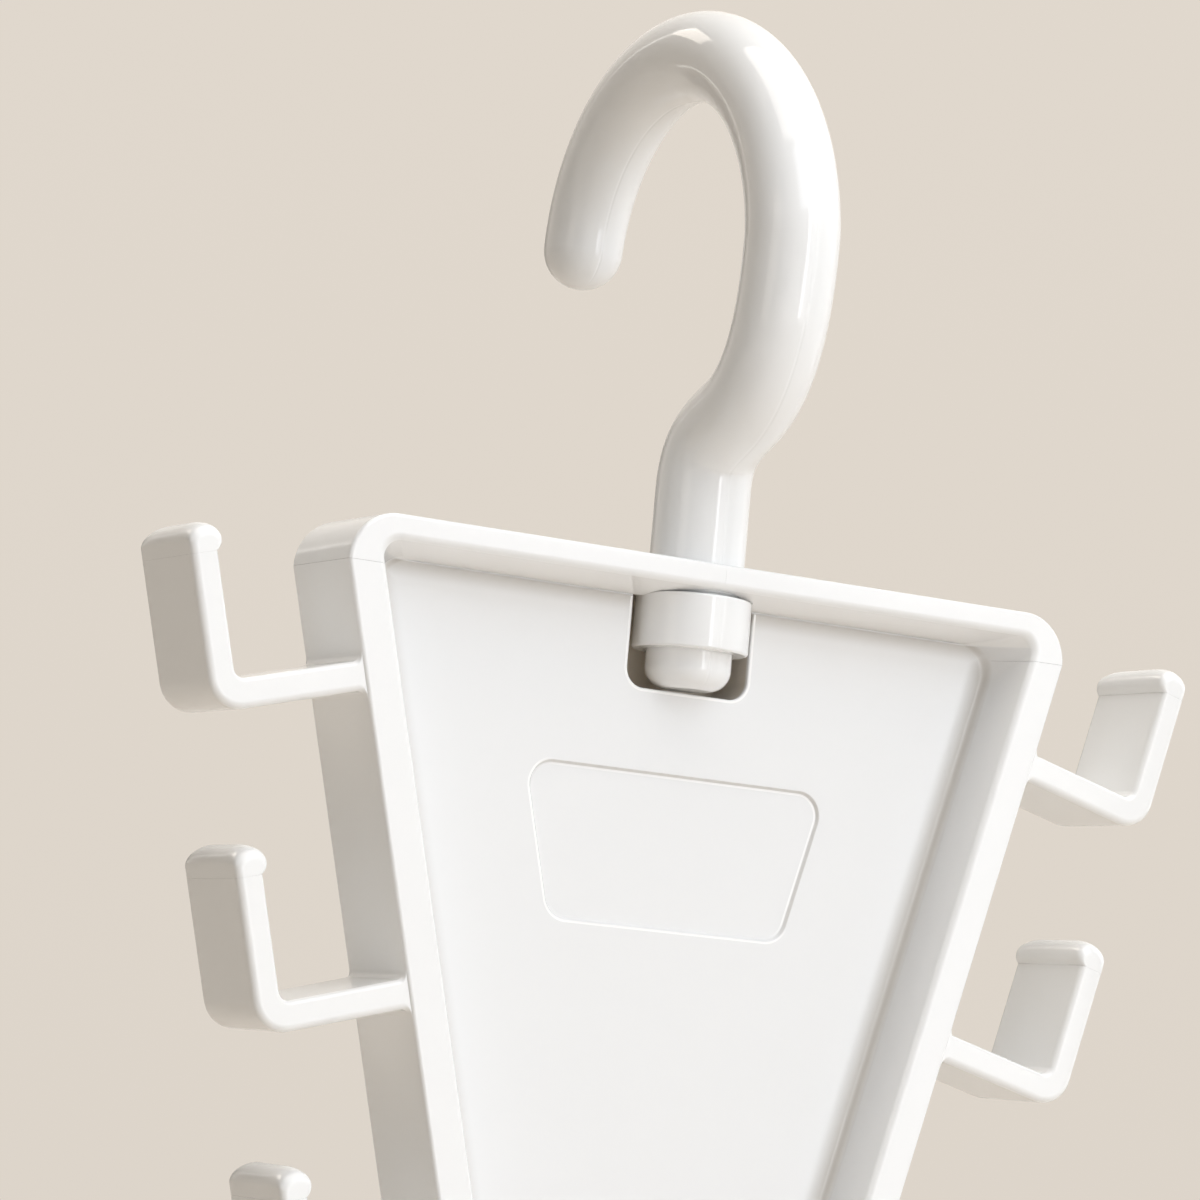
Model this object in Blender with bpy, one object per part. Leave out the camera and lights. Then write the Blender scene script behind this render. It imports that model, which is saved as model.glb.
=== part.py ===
"""Multi-hook hanger with a swivelling rod hook and four side hooks on each side.

Metres, +Z up, the front of the hanger faces -Y. The origin is the seat where
the hanger's hook rests on a wardrobe rod. The body hangs below it and turns
about the vertical line through the hook's shank.
"""
import math

import bmesh
import bpy
from mathutils import Vector

MM = 0.001

# Fits
FIT = 0.3 * MM
OVERRUN = 1.0 * MM

# Body: a tapered frame round a panel
HALF_WIDTH = 60.5 * MM
BOTTOM_HALF_WIDTH = 17.6 * MM
SIDE_LENGTH = 168.0 * MM
TOP_CORNER_RADIUS = 7.25 * MM
BOTTOM_CORNER_RADIUS = 10.0 * MM
FRONT_DEPTH = 8.8 * MM
BACK_DEPTH = 9.8 * MM
TOP_WALL = 3.5 * MM
SIDE_WALL = 5.5 * MM
WALL_DRAFT = 0.2
PANEL_THICKNESS = 2.4 * MM
PANEL_SET_FORWARD = 0.2 * MM

# Joints between the top rail, the tray and the bottom rail
TENON_THICKNESS = 2.0 * MM
TENON_INSET = 2.1 * MM
TENON_LENGTH = 2.8 * MM
TENON_WIDTH = 9.0 * MM
TONGUE_THICKNESS = 1.2 * MM
TONGUE_HEIGHT = 1.5 * MM
TONGUE_LENGTH = 24.0 * MM
TONGUE_START = 16.0 * MM

# Swivel: shank, collar and the pocket they turn in
SHANK_RADIUS = 7.05 * MM
NOSE_RADIUS = 6.35 * MM
NOSE_END = 18.1 * MM
NOSE_ROUNDING = 3.2 * MM
COLLAR_RADIUS = 8.6 * MM
COLLAR_TOP = 4.5 * MM
COLLAR_HEIGHT = 8.0 * MM
COLLAR_CHAMFER = 0.4 * MM
LIP_DEPTH = 0.5 * MM
LIP_HEIGHT = 1.0 * MM
LIP_DROP = 3.8 * MM
WINDOW_HALF_WIDTH = 10.4 * MM
WINDOW_BOTTOM = 18.6 * MM
WINDOW_CORNER_RADIUS = 2.7 * MM
POCKET_WALL = 1.4 * MM
POCKET_BACK_WALL = 0.9 * MM

# Label recess, left bare
LABEL_TOP = 30.8 * MM
LABEL_HEIGHT = 22.4 * MM
LABEL_HALF_WIDTH = 22.5 * MM
LABEL_CORNER_RADIUS = 3.5 * MM
LABEL_DEPTH = 0.5 * MM

# Rod hook, measured up from the top rail and back from the shank's axis
CROWN_RADIUS = 31.5 * MM
CROWN_HEIGHT = 47.4 * MM
CROWN_OFFSET = 12.2 * MM
CROWN_LEAN = 1.6 * MM
CROWN_ROD_RADIUS = 7.0 * MM
TIP_RADIUS = 6.2 * MM
TIP_ANGLE = math.radians(10.0)
NECK_ROD_RADIUS = 6.8 * MM
NECK_MIDDLE_BACK = -9.6 * MM
NECK_MIDDLE_HEIGHT = 22.6 * MM
NECK_FOOT_HEIGHT = 11.5 * MM
NECK_SLOPE = math.radians(28.0)
NECK_PULLS = (10.0 * MM, 9.0 * MM, 5.5 * MM, 7.5 * MM)

# Side hooks
HOOKS_PER_SIDE = 4
FIRST_HOOK = 14.3 * MM
LAST_HOOK = 19.9 * MM
HOOK_REACH = 23.3 * MM
ARM_THICKNESS = 4.25 * MM
LEG_THICKNESS = 4.05 * MM
LEG_HEIGHT = 17.7 * MM
HOOK_INNER_RADIUS = 1.5 * MM
HOOK_OUTER_RADIUS = 4.8 * MM
ROOT_FLARE = 1.1 * MM
HOOK_SETBACK = 0.4 * MM
ROOT_TENON_LENGTH = 3.6 * MM
ROOT_TENON_THICKNESS = 2.2 * MM
ROOT_TENON_WIDTH = 11.0 * MM

# Tip beads
BEAD_RADIUS = 2.45 * MM
BEAD_RISE = 1.85 * MM
BEAD_TONGUE_THICKNESS = 1.4 * MM
BEAD_TONGUE_HEIGHT = 1.6 * MM
BEAD_TONGUE_WIDTH = 12.0 * MM

# How finely round shapes are divided
ROD_SIDES = 32
TURNED_SIDES = 36
CROWN_STEPS = 24
NECK_STEPS = 7
CORNER_STEPS = 7
SMALL_CORNER_STEPS = 4
BEAD_STEPS = 16
ROUND_END_STEPS = 5

# Values that follow from the sizes above
SEAT_HEIGHT = CROWN_HEIGHT + CROWN_RADIUS - CROWN_ROD_RADIUS
PANEL_FRONT = -PANEL_SET_FORWARD
PANEL_BACK = PANEL_FRONT + PANEL_THICKNESS
MID_DEPTH = (BACK_DEPTH - FRONT_DEPTH) / 2
BODY_DEPTH = FRONT_DEPTH + BACK_DEPTH
TAPER = math.asin((HALF_WIDTH - BOTTOM_HALF_WIDTH) / SIDE_LENGTH)
TOP_SEAM = -TOP_CORNER_RADIUS
BOTTOM_SEAM = TOP_SEAM - SIDE_LENGTH * math.cos(TAPER)
HOOK_SPACING = (SIDE_LENGTH - FIRST_HOOK - LAST_HOOK) / (HOOKS_PER_SIDE - 1)
COLLAR_SEAT = COLLAR_TOP - FIT
COLLAR_BOTTOM = COLLAR_TOP + COLLAR_HEIGHT


def make_material(name, colour, roughness):
    """A moulded plastic in one colour."""
    material = bpy.data.materials.new(name)
    material.use_nodes = True
    shader = material.node_tree.nodes["Principled BSDF"]
    shader.inputs["Base Color"].default_value = (*colour, 1.0)
    shader.inputs["Roughness"].default_value = roughness
    shader.inputs["Metallic"].default_value = 0.0
    return material


def finish(bm, name, parent, material, smooth_angle=None):
    """Turn a bmesh into an object whose faces point outwards."""
    bmesh.ops.recalc_face_normals(bm, faces=bm.faces)
    mesh = bpy.data.meshes.new(name)
    bm.to_mesh(mesh)
    bm.free()
    if smooth_angle is not None:
        mesh.shade_smooth()
        mesh.set_sharp_from_angle(angle=smooth_angle)
    if material is not None:
        mesh.materials.append(material)
    obj = bpy.data.objects.new(name, mesh)
    obj.parent = parent
    bpy.context.scene.collection.objects.link(obj)
    return obj


def closed_rings(bm, rings, ring_of_rings=False):
    """Skin a list of equal rings, with flat caps unless they close on themselves."""
    rows = [[bm.verts.new(point) for point in ring] for ring in rings]
    pairs = list(zip(rows, rows[1:]))
    if ring_of_rings:
        pairs.append((rows[-1], rows[0]))
    count = len(rows[0])
    for one, two in pairs:
        for i in range(count):
            j = (i + 1) % count
            bm.faces.new((one[i], one[j], two[j], two[i]))
    if not ring_of_rings:
        bm.faces.new(rows[0])
        bm.faces.new(rows[-1])


def loft(name, stations, parent, material=None, smooth_angle=None):
    """Solid through outlines in X and Z, each at its own depth Y."""
    bm = bmesh.new()
    closed_rings(bm, [[(x, y, z) for x, z in outline] for outline, y in stations])
    return finish(bm, name, parent, material, smooth_angle)


def prism(name, outline, front, back, parent, material=None, smooth_angle=None):
    return loft(name, [(outline, front), (outline, back)], parent, material, smooth_angle)


def block(name, x, y, z, parent):
    """Box between pairs of limits."""
    outline = [(x[0], z[0]), (x[1], z[0]), (x[1], z[1]), (x[0], z[1])]
    return prism(name, outline, y[0], y[1], parent)


def cylinder(name, radius, bottom, top, parent):
    """Upright cylinder on the swivel's axis."""
    bm = bmesh.new()
    circle = [(radius * math.cos(a), radius * math.sin(a)) for a in angles(TURNED_SIDES)]
    closed_rings(bm, [[(x, y, z) for x, y in circle] for z in (bottom, top)])
    return finish(bm, name, parent, None)


def angles(count):
    return [math.tau * i / count for i in range(count)]


def arc(centre, radius, start, end, steps):
    """Points on an arc, both ends included."""
    points = []
    for i in range(steps + 1):
        angle = start + (end - start) * i / steps
        points.append((centre[0] + radius * math.cos(angle), centre[1] + radius * math.sin(angle)))
    return points


def combine(obj, tool, operation):
    """Boolean with a hidden tool."""
    tool.hide_render = True
    tool.display_type = "WIRE"
    tool.hide_set(True)
    modifier = obj.modifiers.new(tool.name, "BOOLEAN")
    modifier.operation = operation
    modifier.solver = "EXACT"
    modifier.object = tool


def cut(obj, tool):
    combine(obj, tool, "DIFFERENCE")


def add(obj, tool):
    combine(obj, tool, "UNION")


# Outlines of the body, in X and Z below the top rail's upper face


def right_half_outline(inset_top, inset_side):
    """Right half of the body's outline, top to bottom, moved in by its walls."""
    radius = TOP_CORNER_RADIUS - inset_top
    seam_x = HALF_WIDTH - inset_side / math.cos(TAPER)
    points = arc((seam_x - radius, TOP_SEAM), radius, math.pi / 2, 0.0, CORNER_STEPS)
    lower_radius = BOTTOM_CORNER_RADIUS - inset_side
    centre = (
        BOTTOM_HALF_WIDTH - BOTTOM_CORNER_RADIUS * math.cos(TAPER),
        BOTTOM_SEAM + BOTTOM_CORNER_RADIUS * math.sin(TAPER),
    )
    points += arc(centre, lower_radius, -TAPER, -math.pi / 2, CORNER_STEPS)
    return points


def mirrored(right_half):
    """Whole outline from its right half."""
    return right_half + [(-x, z) for x, z in reversed(right_half)]


def wall_growth(depth):
    """How much thicker the walls are at a depth than at the rails' outer edges."""
    if depth < PANEL_FRONT:
        return WALL_DRAFT * (depth + FRONT_DEPTH)
    if depth > PANEL_BACK:
        return WALL_DRAFT * (BACK_DEPTH - depth)
    return WALL_DRAFT * (PANEL_FRONT + FRONT_DEPTH)


def inner_outline(depth, shrink=0.0):
    """Inside of the frame at a depth, shrunk by a clearance."""
    growth = wall_growth(depth) + shrink
    return mirrored(right_half_outline(TOP_WALL + growth, SIDE_WALL + growth))


def side_x(z, inset=0.0):
    """Outer face of the right side rail at a height, moved in square to the face."""
    return HALF_WIDTH - (TOP_SEAM - z) * math.tan(TAPER) - inset / math.cos(TAPER)


# Pieces


def make_rod_hook(parent, material):
    """Hook, neck, shank and nose: round rings along a line in the Y-Z plane."""
    stations = []

    def crown(angle):
        reach = CROWN_RADIUS + CROWN_LEAN * math.sin(2 * angle)
        return Vector((CROWN_OFFSET + reach * math.cos(angle), CROWN_HEIGHT + reach * math.sin(angle)))

    def crown_radius(share):
        if share < 0.5:
            return TIP_RADIUS + (CROWN_ROD_RADIUS - TIP_RADIUS) * 2 * share
        return CROWN_ROD_RADIUS

    line = []
    for i in range(CROWN_STEPS + 1):
        share = i / CROWN_STEPS
        line.append((crown(TIP_ANGLE + (math.pi - TIP_ANGLE) * share), crown_radius(share)))

    slope = Vector((math.cos(NECK_SLOPE), -math.sin(NECK_SLOPE)))
    middle = Vector((NECK_MIDDLE_BACK, NECK_MIDDLE_HEIGHT))
    foot = Vector((0.0, NECK_FOOT_HEIGHT))
    start = line[-1][0]
    upper = (start, start - Vector((0.0, NECK_PULLS[0])), middle - slope * NECK_PULLS[1], middle)
    lower = (middle, middle + slope * NECK_PULLS[2], foot + Vector((0.0, NECK_PULLS[3])), foot)
    for curve, radii in (
        (upper, (CROWN_ROD_RADIUS, NECK_ROD_RADIUS)),
        (lower, (NECK_ROD_RADIUS, SHANK_RADIUS)),
    ):
        for i in range(1, NECK_STEPS + 1):
            share = i / NECK_STEPS
            line.append((bezier(curve, share), radii[0] + (radii[1] - radii[0]) * share))

    tip_out = (line[0][0] - line[1][0]).normalized()
    for i in range(ROUND_END_STEPS):
        angle = math.pi / 2 * (i + 0.5) / (ROUND_END_STEPS + 0.5)
        centre = line[0][0] + tip_out * TIP_RADIUS * math.cos(angle)
        stations.append((centre, -tip_out, TIP_RADIUS * math.sin(angle)))
    for i, (point, radius) in enumerate(line):
        before = line[max(i - 1, 0)][0]
        after = line[min(i + 1, len(line) - 1)][0]
        direction = (after - before).normalized() if i < len(line) - 1 else Vector((0.0, -1.0))
        stations.append((point, direction, radius))

    lip_top = COLLAR_TOP + LIP_DROP - FIT
    lip_bottom = COLLAR_TOP + LIP_DROP + LIP_HEIGHT + FIT
    groove_radius = NOSE_RADIUS + FIT - LIP_DEPTH - 2 * FIT
    down = Vector((0.0, -1.0))
    profile = [
        (SHANK_RADIUS, COLLAR_SEAT),
        (NOSE_RADIUS, COLLAR_SEAT),
        (NOSE_RADIUS, lip_top),
        (groove_radius, lip_top),
        (groove_radius, lip_bottom),
        (NOSE_RADIUS, lip_bottom),
    ]
    core = NOSE_RADIUS - NOSE_ROUNDING
    for i in range(ROUND_END_STEPS + 1):
        angle = math.pi / 2 * i / ROUND_END_STEPS
        profile.append(
            (core + NOSE_ROUNDING * math.cos(angle), NOSE_END - NOSE_ROUNDING * (1 - math.sin(angle)))
        )
    stations += [(Vector((0.0, -drop)), down, radius) for radius, drop in profile]

    rings = []
    for point, direction, radius in stations:
        across = Vector((-direction.y, direction.x))
        ring = []
        for angle in angles(ROD_SIDES):
            side = radius * math.cos(angle)
            lift = radius * math.sin(angle)
            ring.append((side, point.x + across.x * lift, point.y + across.y * lift))
        rings.append(ring)
    bm = bmesh.new()
    closed_rings(bm, rings)
    return finish(bm, "swivel_hook", parent, material, math.radians(35.0))


def bezier(points, share):
    """Point on a cubic curve."""
    rest = 1.0 - share
    return (
        points[0] * rest**3
        + points[1] * 3 * rest**2 * share
        + points[2] * 3 * rest * share**2
        + points[3] * share**3
    )


def make_collar(parent, material):
    """Ring with a snap lip, turned about the shank's axis."""
    bore = NOSE_RADIUS + FIT
    lip = bore - LIP_DEPTH
    lip_top = COLLAR_TOP + LIP_DROP
    lip_bottom = lip_top + LIP_HEIGHT
    profile = [
        (bore, COLLAR_TOP),
        (COLLAR_RADIUS - COLLAR_CHAMFER, COLLAR_TOP),
        (COLLAR_RADIUS, COLLAR_TOP + COLLAR_CHAMFER),
        (COLLAR_RADIUS, COLLAR_BOTTOM - COLLAR_CHAMFER),
        (COLLAR_RADIUS - COLLAR_CHAMFER, COLLAR_BOTTOM),
        (bore, COLLAR_BOTTOM),
        (bore, lip_bottom),
        (lip, lip_bottom),
        (lip, lip_top),
        (bore, lip_top),
    ]
    rings = [
        [(r * math.cos(a), r * math.sin(a), -drop) for r, drop in profile] for a in angles(TURNED_SIDES)
    ]
    bm = bmesh.new()
    closed_rings(bm, rings, ring_of_rings=True)
    return finish(bm, "retaining_collar", parent, material, math.radians(35.0))


def rail_tenon(name, sign, top, grow, parent):
    """Tenon, or with grow its socket, in a side rail's end at the upper or lower seam."""
    seam = TOP_SEAM if top else BOTTOM_SEAM
    outer = side_x(seam, TENON_INSET) + grow
    inner = outer - TENON_THICKNESS - 2 * grow
    away = 1 if top else -1
    z = sorted((seam - away * (FIT + OVERRUN), seam + away * (TENON_LENGTH + grow)))
    half = TENON_WIDTH / 2 + grow
    x = sorted((sign * inner, sign * outer))
    return block(name, x, (MID_DEPTH - half, MID_DEPTH + half), z, parent)


def panel_tongue(name, sign, grow, parent):
    """Tongue, or with grow its groove, on the panel's upper edge beside the window."""
    edge = -(TOP_WALL + wall_growth(PANEL_FRONT))
    middle = (PANEL_FRONT + PANEL_BACK) / 2
    half = TONGUE_THICKNESS / 2 + grow
    x = sorted((sign * (TONGUE_START - grow), sign * (TONGUE_START + TONGUE_LENGTH + grow)))
    z = (edge - FIT - OVERRUN, edge + TONGUE_HEIGHT + grow)
    return block(name, x, (middle - half, middle + half), z, parent)


def frame_cavity(name, parent):
    """Everything inside the frame, from front to back, with drafted walls."""
    depths = (-FRONT_DEPTH - OVERRUN, PANEL_FRONT, PANEL_BACK, BACK_DEPTH + OVERRUN)
    return loft(name, [(inner_outline(depth), depth) for depth in depths], parent)


def make_top_rail(parent, material):
    outline = mirrored(right_half_outline(0.0, 0.0)[: CORNER_STEPS + 1])
    rail = prism("top_rail", outline, -FRONT_DEPTH, BACK_DEPTH, parent, material, math.radians(30.0))
    cut(rail, frame_cavity("top_cavity", parent))
    cut(rail, cylinder("shank_bore", SHANK_RADIUS + FIT, -TOP_CORNER_RADIUS, OVERRUN, parent))
    seat_radius = COLLAR_RADIUS + FIT
    cut(rail, cylinder("collar_seat", seat_radius, -TOP_CORNER_RADIUS - OVERRUN, -COLLAR_SEAT, parent))
    for sign, side in ((-1, "left"), (1, "right")):
        cut(rail, rail_tenon("top_socket_" + side, sign, True, FIT, parent))
        cut(rail, panel_tongue("panel_groove_" + side, sign, FIT, parent))
    return rail


def make_bottom_rail(parent, material):
    """The piece below the lower seam; its top follows the seam level."""
    half = right_half_outline(0.0, 0.0)[CORNER_STEPS + 1 :]
    outline = mirrored(half)
    rail = prism("bottom_rail", outline, -FRONT_DEPTH, BACK_DEPTH, parent, material, math.radians(30.0))
    cut(rail, frame_cavity("bottom_cavity", parent))
    for sign, side in ((-1, "left"), (1, "right")):
        cut(rail, rail_tenon("bottom_socket_" + side, sign, False, FIT, parent))
    return rail


def window_outline():
    """Window and pocket: open at the top, round at the two lower corners."""
    radius = WINDOW_CORNER_RADIUS
    right = [(WINDOW_HALF_WIDTH, 0.0)]
    right += arc(
        (WINDOW_HALF_WIDTH - radius, -WINDOW_BOTTOM + radius), radius, 0.0, -math.pi / 2, SMALL_CORNER_STEPS
    )
    return mirrored(right)


def label_outline():
    """Rounded trapezoid with its sides along the body's sides."""
    lean = math.tan(TAPER) * LABEL_HEIGHT / 2
    radius = LABEL_CORNER_RADIUS
    right = []
    for half, z, start, end in (
        (LABEL_HALF_WIDTH + lean, -LABEL_TOP - radius, math.pi / 2, -TAPER),
        (LABEL_HALF_WIDTH - lean, -LABEL_TOP - LABEL_HEIGHT + radius, -TAPER, -math.pi / 2),
    ):
        tilt_share = math.tan((math.pi / 2 + TAPER) / 2) if start > 0 else math.tan((math.pi / 2 - TAPER) / 2)
        right += arc((half - radius * tilt_share, z), radius, start, end, CORNER_STEPS)
    return mirrored(right)


def pocket_housing(parent):
    """Box behind the panel that closes the collar's pocket."""
    half = WINDOW_HALF_WIDTH + POCKET_WALL
    bottom = -WINDOW_BOTTOM - POCKET_WALL
    stations = []
    for depth in (PANEL_FRONT + PANEL_THICKNESS / 2, BACK_DEPTH):
        top = -TOP_WALL - wall_growth(depth) - FIT
        outline = [(half, top), (half, bottom), (-half, bottom), (-half, top)]
        stations.append((outline, depth))
    return loft("pocket_housing", stations, parent)


def make_tray(parent, material):
    """Both side rails and the panel between them."""
    top, bottom = TOP_SEAM - FIT, BOTTOM_SEAM + FIT
    corners = [(side_x(top), top), (side_x(bottom), bottom)]
    tray = prism(
        "tray", mirrored(corners), -FRONT_DEPTH, BACK_DEPTH, parent, material, math.radians(30.0)
    )
    cavities = {
        "front_cavity": (-FRONT_DEPTH - OVERRUN, PANEL_FRONT),
        "back_cavity": (PANEL_BACK, BACK_DEPTH + OVERRUN),
    }
    for name, depths in cavities.items():
        cut(tray, loft(name, [(inner_outline(depth), depth) for depth in depths], parent))

    whole = inner_outline(PANEL_FRONT, FIT)
    half_count = len(whole) // 2
    upper_right = whole[: CORNER_STEPS + 1] + [(whole[CORNER_STEPS][0], top - OVERRUN)]
    add(tray, prism("panel_head", mirrored(upper_right), PANEL_FRONT, PANEL_BACK, parent))
    lower_right = whole[CORNER_STEPS + 1 : half_count]
    lower_right = [(lower_right[0][0], lower_right[0][1] + OVERRUN)] + lower_right
    add(tray, prism("panel_foot", mirrored(lower_right), PANEL_FRONT, PANEL_BACK, parent))

    add(tray, pocket_housing(parent))
    for sign, side in ((-1, "left"), (1, "right")):
        add(tray, panel_tongue("panel_tongue_" + side, sign, 0.0, parent))
        add(tray, rail_tenon("top_tenon_" + side, sign, True, 0.0, parent))
        add(tray, rail_tenon("bottom_tenon_" + side, sign, False, 0.0, parent))
    pocket_back = BACK_DEPTH - POCKET_BACK_WALL
    cut(tray, prism("window", window_outline(), PANEL_FRONT - OVERRUN, pocket_back, parent))
    label_floor = PANEL_FRONT + LABEL_DEPTH
    cut(tray, prism("label_recess", label_outline(), PANEL_FRONT - OVERRUN, label_floor, parent))
    for sign, side in ((-1, "left"), (1, "right")):
        for i in range(HOOKS_PER_SIDE):
            mortise = root_tenon("mortise_%s_%d" % (side, i + 1), FIT, parent)
            place_on_side(mortise, sign, i)
            cut(tray, mortise)
    return tray


def place_on_side(obj, sign, index):
    """Move a piece built at the origin to the root of a side hook."""
    along = FIRST_HOOK + index * HOOK_SPACING
    obj.location = (
        sign * (HALF_WIDTH - along * math.sin(TAPER)),
        MID_DEPTH,
        TOP_SEAM - along * math.cos(TAPER),
    )
    obj.rotation_euler = (0.0, TAPER, 0.0 if sign > 0 else math.pi)


def root_tenon(name, grow, parent):
    """Tenon of a side hook, or with grow its mortise; X points out of the rail."""
    middle = -ARM_THICKNESS / 2
    half_height = ROOT_TENON_THICKNESS / 2 + grow
    half_width = ROOT_TENON_WIDTH / 2 + grow
    x = (-ROOT_TENON_LENGTH - grow, OVERRUN)
    return block(name, x, (-half_width, half_width), (middle - half_height, middle + half_height), parent)


def side_hook_outline():
    """L shape with its root at X = 0 and the arm's upper face at Z = 0."""
    leg_inner = HOOK_REACH - LEG_THICKNESS
    half_turn = math.pi / 2
    points = arc((FIT + ROOT_FLARE, ROOT_FLARE), ROOT_FLARE, math.pi, 3 * half_turn, SMALL_CORNER_STEPS)
    points += arc(
        (leg_inner - HOOK_INNER_RADIUS, HOOK_INNER_RADIUS),
        HOOK_INNER_RADIUS,
        -half_turn,
        0.0,
        SMALL_CORNER_STEPS,
    )
    points += [(leg_inner, LEG_HEIGHT), (HOOK_REACH, LEG_HEIGHT)]
    points += arc(
        (HOOK_REACH - HOOK_OUTER_RADIUS, HOOK_OUTER_RADIUS - ARM_THICKNESS),
        HOOK_OUTER_RADIUS,
        0.0,
        -half_turn,
        CORNER_STEPS,
    )
    points += arc(
        (FIT + ROOT_FLARE, -ARM_THICKNESS - ROOT_FLARE), ROOT_FLARE, half_turn, math.pi, SMALL_CORNER_STEPS
    )
    return points


def bead_tongue(name, grow, parent):
    """Tongue on a leg's end, or with grow the slot in its bead."""
    middle = HOOK_REACH - LEG_THICKNESS / 2
    half = BEAD_TONGUE_THICKNESS / 2 + grow
    half_width = BEAD_TONGUE_WIDTH / 2 + grow
    z = (LEG_HEIGHT - OVERRUN, LEG_HEIGHT + FIT + BEAD_TONGUE_HEIGHT + grow)
    return block(name, (middle - half, middle + half), (-half_width, half_width), z, parent)


def bead_outline():
    """Round bead, cut flat where it sits on the leg, with its outer side along the leg's."""
    centre = (HOOK_REACH - BEAD_RADIUS, LEG_HEIGHT + BEAD_RISE)
    below = math.asin((BEAD_RISE - FIT) / BEAD_RADIUS)
    outer_side = [(HOOK_REACH, LEG_HEIGHT + FIT)]
    return outer_side + arc(centre, BEAD_RADIUS, 0.0, math.pi + below, BEAD_STEPS)


def make_side_hooks(parent, material):
    """Eight L-shaped hooks and eight tip beads."""
    half_depth = BODY_DEPTH / 2 - HOOK_SETBACK
    for sign, side in ((-1, "left"), (1, "right")):
        for i in range(HOOKS_PER_SIDE):
            label = "%s_%d" % (side, i + 1)
            name = "%s_hook_%d" % (side, i + 1)
            hook = prism(
                name, side_hook_outline(), -half_depth, half_depth, parent, material, math.radians(30.0)
            )
            tip_name = "%s_tip_%d" % (side, i + 1)
            tip = prism(
                tip_name, bead_outline(), -half_depth, half_depth, parent, material, math.radians(30.0)
            )
            tenon = root_tenon("tenon_" + label, 0.0, parent)
            tongue = bead_tongue("tip_tongue_" + label, 0.0, parent)
            slot = bead_tongue("tip_slot_" + label, FIT, parent)
            for piece in (hook, tip, tenon, tongue, slot):
                place_on_side(piece, sign, i)
            add(hook, tenon)
            add(hook, tongue)
            cut(tip, slot)


def main():
    for obj in list(bpy.data.objects):
        bpy.data.objects.remove(obj, do_unlink=True)
    axis = bpy.data.objects.new("swivel_axis", None)
    axis.location = (0.0, -CROWN_OFFSET, -SEAT_HEIGHT)
    bpy.context.scene.collection.objects.link(axis)

    hook_plastic = make_material("hook_plastic", (0.93, 0.93, 0.92), 0.25)
    body_plastic = make_material("body_plastic", (0.92, 0.92, 0.91), 0.35)
    tip_plastic = make_material("tip_plastic", (0.92, 0.92, 0.91), 0.4)

    make_rod_hook(axis, hook_plastic)
    make_collar(axis, hook_plastic)
    make_top_rail(axis, body_plastic)
    make_tray(axis, body_plastic)
    make_bottom_rail(axis, body_plastic)
    make_side_hooks(axis, tip_plastic)
    bpy.context.view_layer.update()


main()
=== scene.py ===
"""Multi-hook hanger, dressed round its packed solids, with its stage and camera."""

import math

import bmesh
import bpy
from bpy.props import FloatProperty, FloatVectorProperty, IntProperty, PointerProperty
from mathutils import Matrix, Vector


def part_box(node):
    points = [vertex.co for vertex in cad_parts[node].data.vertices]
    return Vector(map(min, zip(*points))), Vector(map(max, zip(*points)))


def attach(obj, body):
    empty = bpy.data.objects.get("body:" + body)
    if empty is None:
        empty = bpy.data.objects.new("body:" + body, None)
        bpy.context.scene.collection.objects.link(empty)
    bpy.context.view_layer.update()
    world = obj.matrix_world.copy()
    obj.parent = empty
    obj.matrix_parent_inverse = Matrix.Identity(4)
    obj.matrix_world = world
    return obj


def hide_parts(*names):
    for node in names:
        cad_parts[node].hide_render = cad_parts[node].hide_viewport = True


bl_info = {
    "name": "Multi-hook hanger",
    "version": (1, 0, 0),
    "blender": (4, 5, 0),
    "location": "3D View > Sidebar > Hanger",
    "description": "Builds a white moulded hanger with a swivelling rod hook and side hooks",
    "category": "Add Mesh",
}

MM = 0.001
OVERRUN = 1.0 * MM

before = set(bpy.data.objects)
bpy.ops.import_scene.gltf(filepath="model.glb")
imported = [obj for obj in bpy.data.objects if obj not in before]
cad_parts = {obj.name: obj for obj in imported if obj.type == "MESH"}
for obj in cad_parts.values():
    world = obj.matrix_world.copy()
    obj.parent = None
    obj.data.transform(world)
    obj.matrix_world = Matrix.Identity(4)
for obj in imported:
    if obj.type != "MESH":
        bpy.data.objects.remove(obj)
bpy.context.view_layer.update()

# Places that the packed solids give
RAIL_LOW, RAIL_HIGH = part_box("top_rail")
FOOT_LOW, FOOT_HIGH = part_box("bottom_rail")
COLLAR_LOW, COLLAR_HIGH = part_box("retaining_collar")
ROD_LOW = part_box("swivel_hook")[0]

FRONT = RAIL_LOW.y
BACK = RAIL_HIGH.y
RAIL_TOP = RAIL_HIGH.z
TOP_SEAM = RAIL_LOW.z
BOTTOM_SEAM = FOOT_HIGH.z
HALF_WIDTH = RAIL_HIGH.x
FOOT_HALF_WIDTH = FOOT_HIGH.x
TAPER = math.atan2(HALF_WIDTH - FOOT_HALF_WIDTH, TOP_SEAM - BOTTOM_SEAM)
TOP_RADIUS = RAIL_TOP - TOP_SEAM
FOOT_RADIUS = (BOTTOM_SEAM - FOOT_LOW.z) / (1 - math.sin(TAPER))
SHANK_Y = (COLLAR_LOW.y + COLLAR_HIGH.y) / 2
ROD_BODY = "rod_hook"
HANGER_BODY = "hanger_body"


def number(name, value, text, **more):
    """Number that a user can change."""
    return FloatProperty(name=name, description=text, default=value, **more)


def length(name, millimetres, text):
    """Length that a user can change, shown in the scene's units."""
    return number(name, millimetres * MM, text, unit="LENGTH", precision=5)


def degrees(name, value, text):
    """Angle that a user can change."""
    return number(name, math.radians(value), text, subtype="ANGLE")


def colour(name, value, text):
    """Colour that a user can change."""
    return FloatVectorProperty(
        name=name, description=text, default=value, subtype="COLOR", min=0.0, max=1.0
    )


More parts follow.
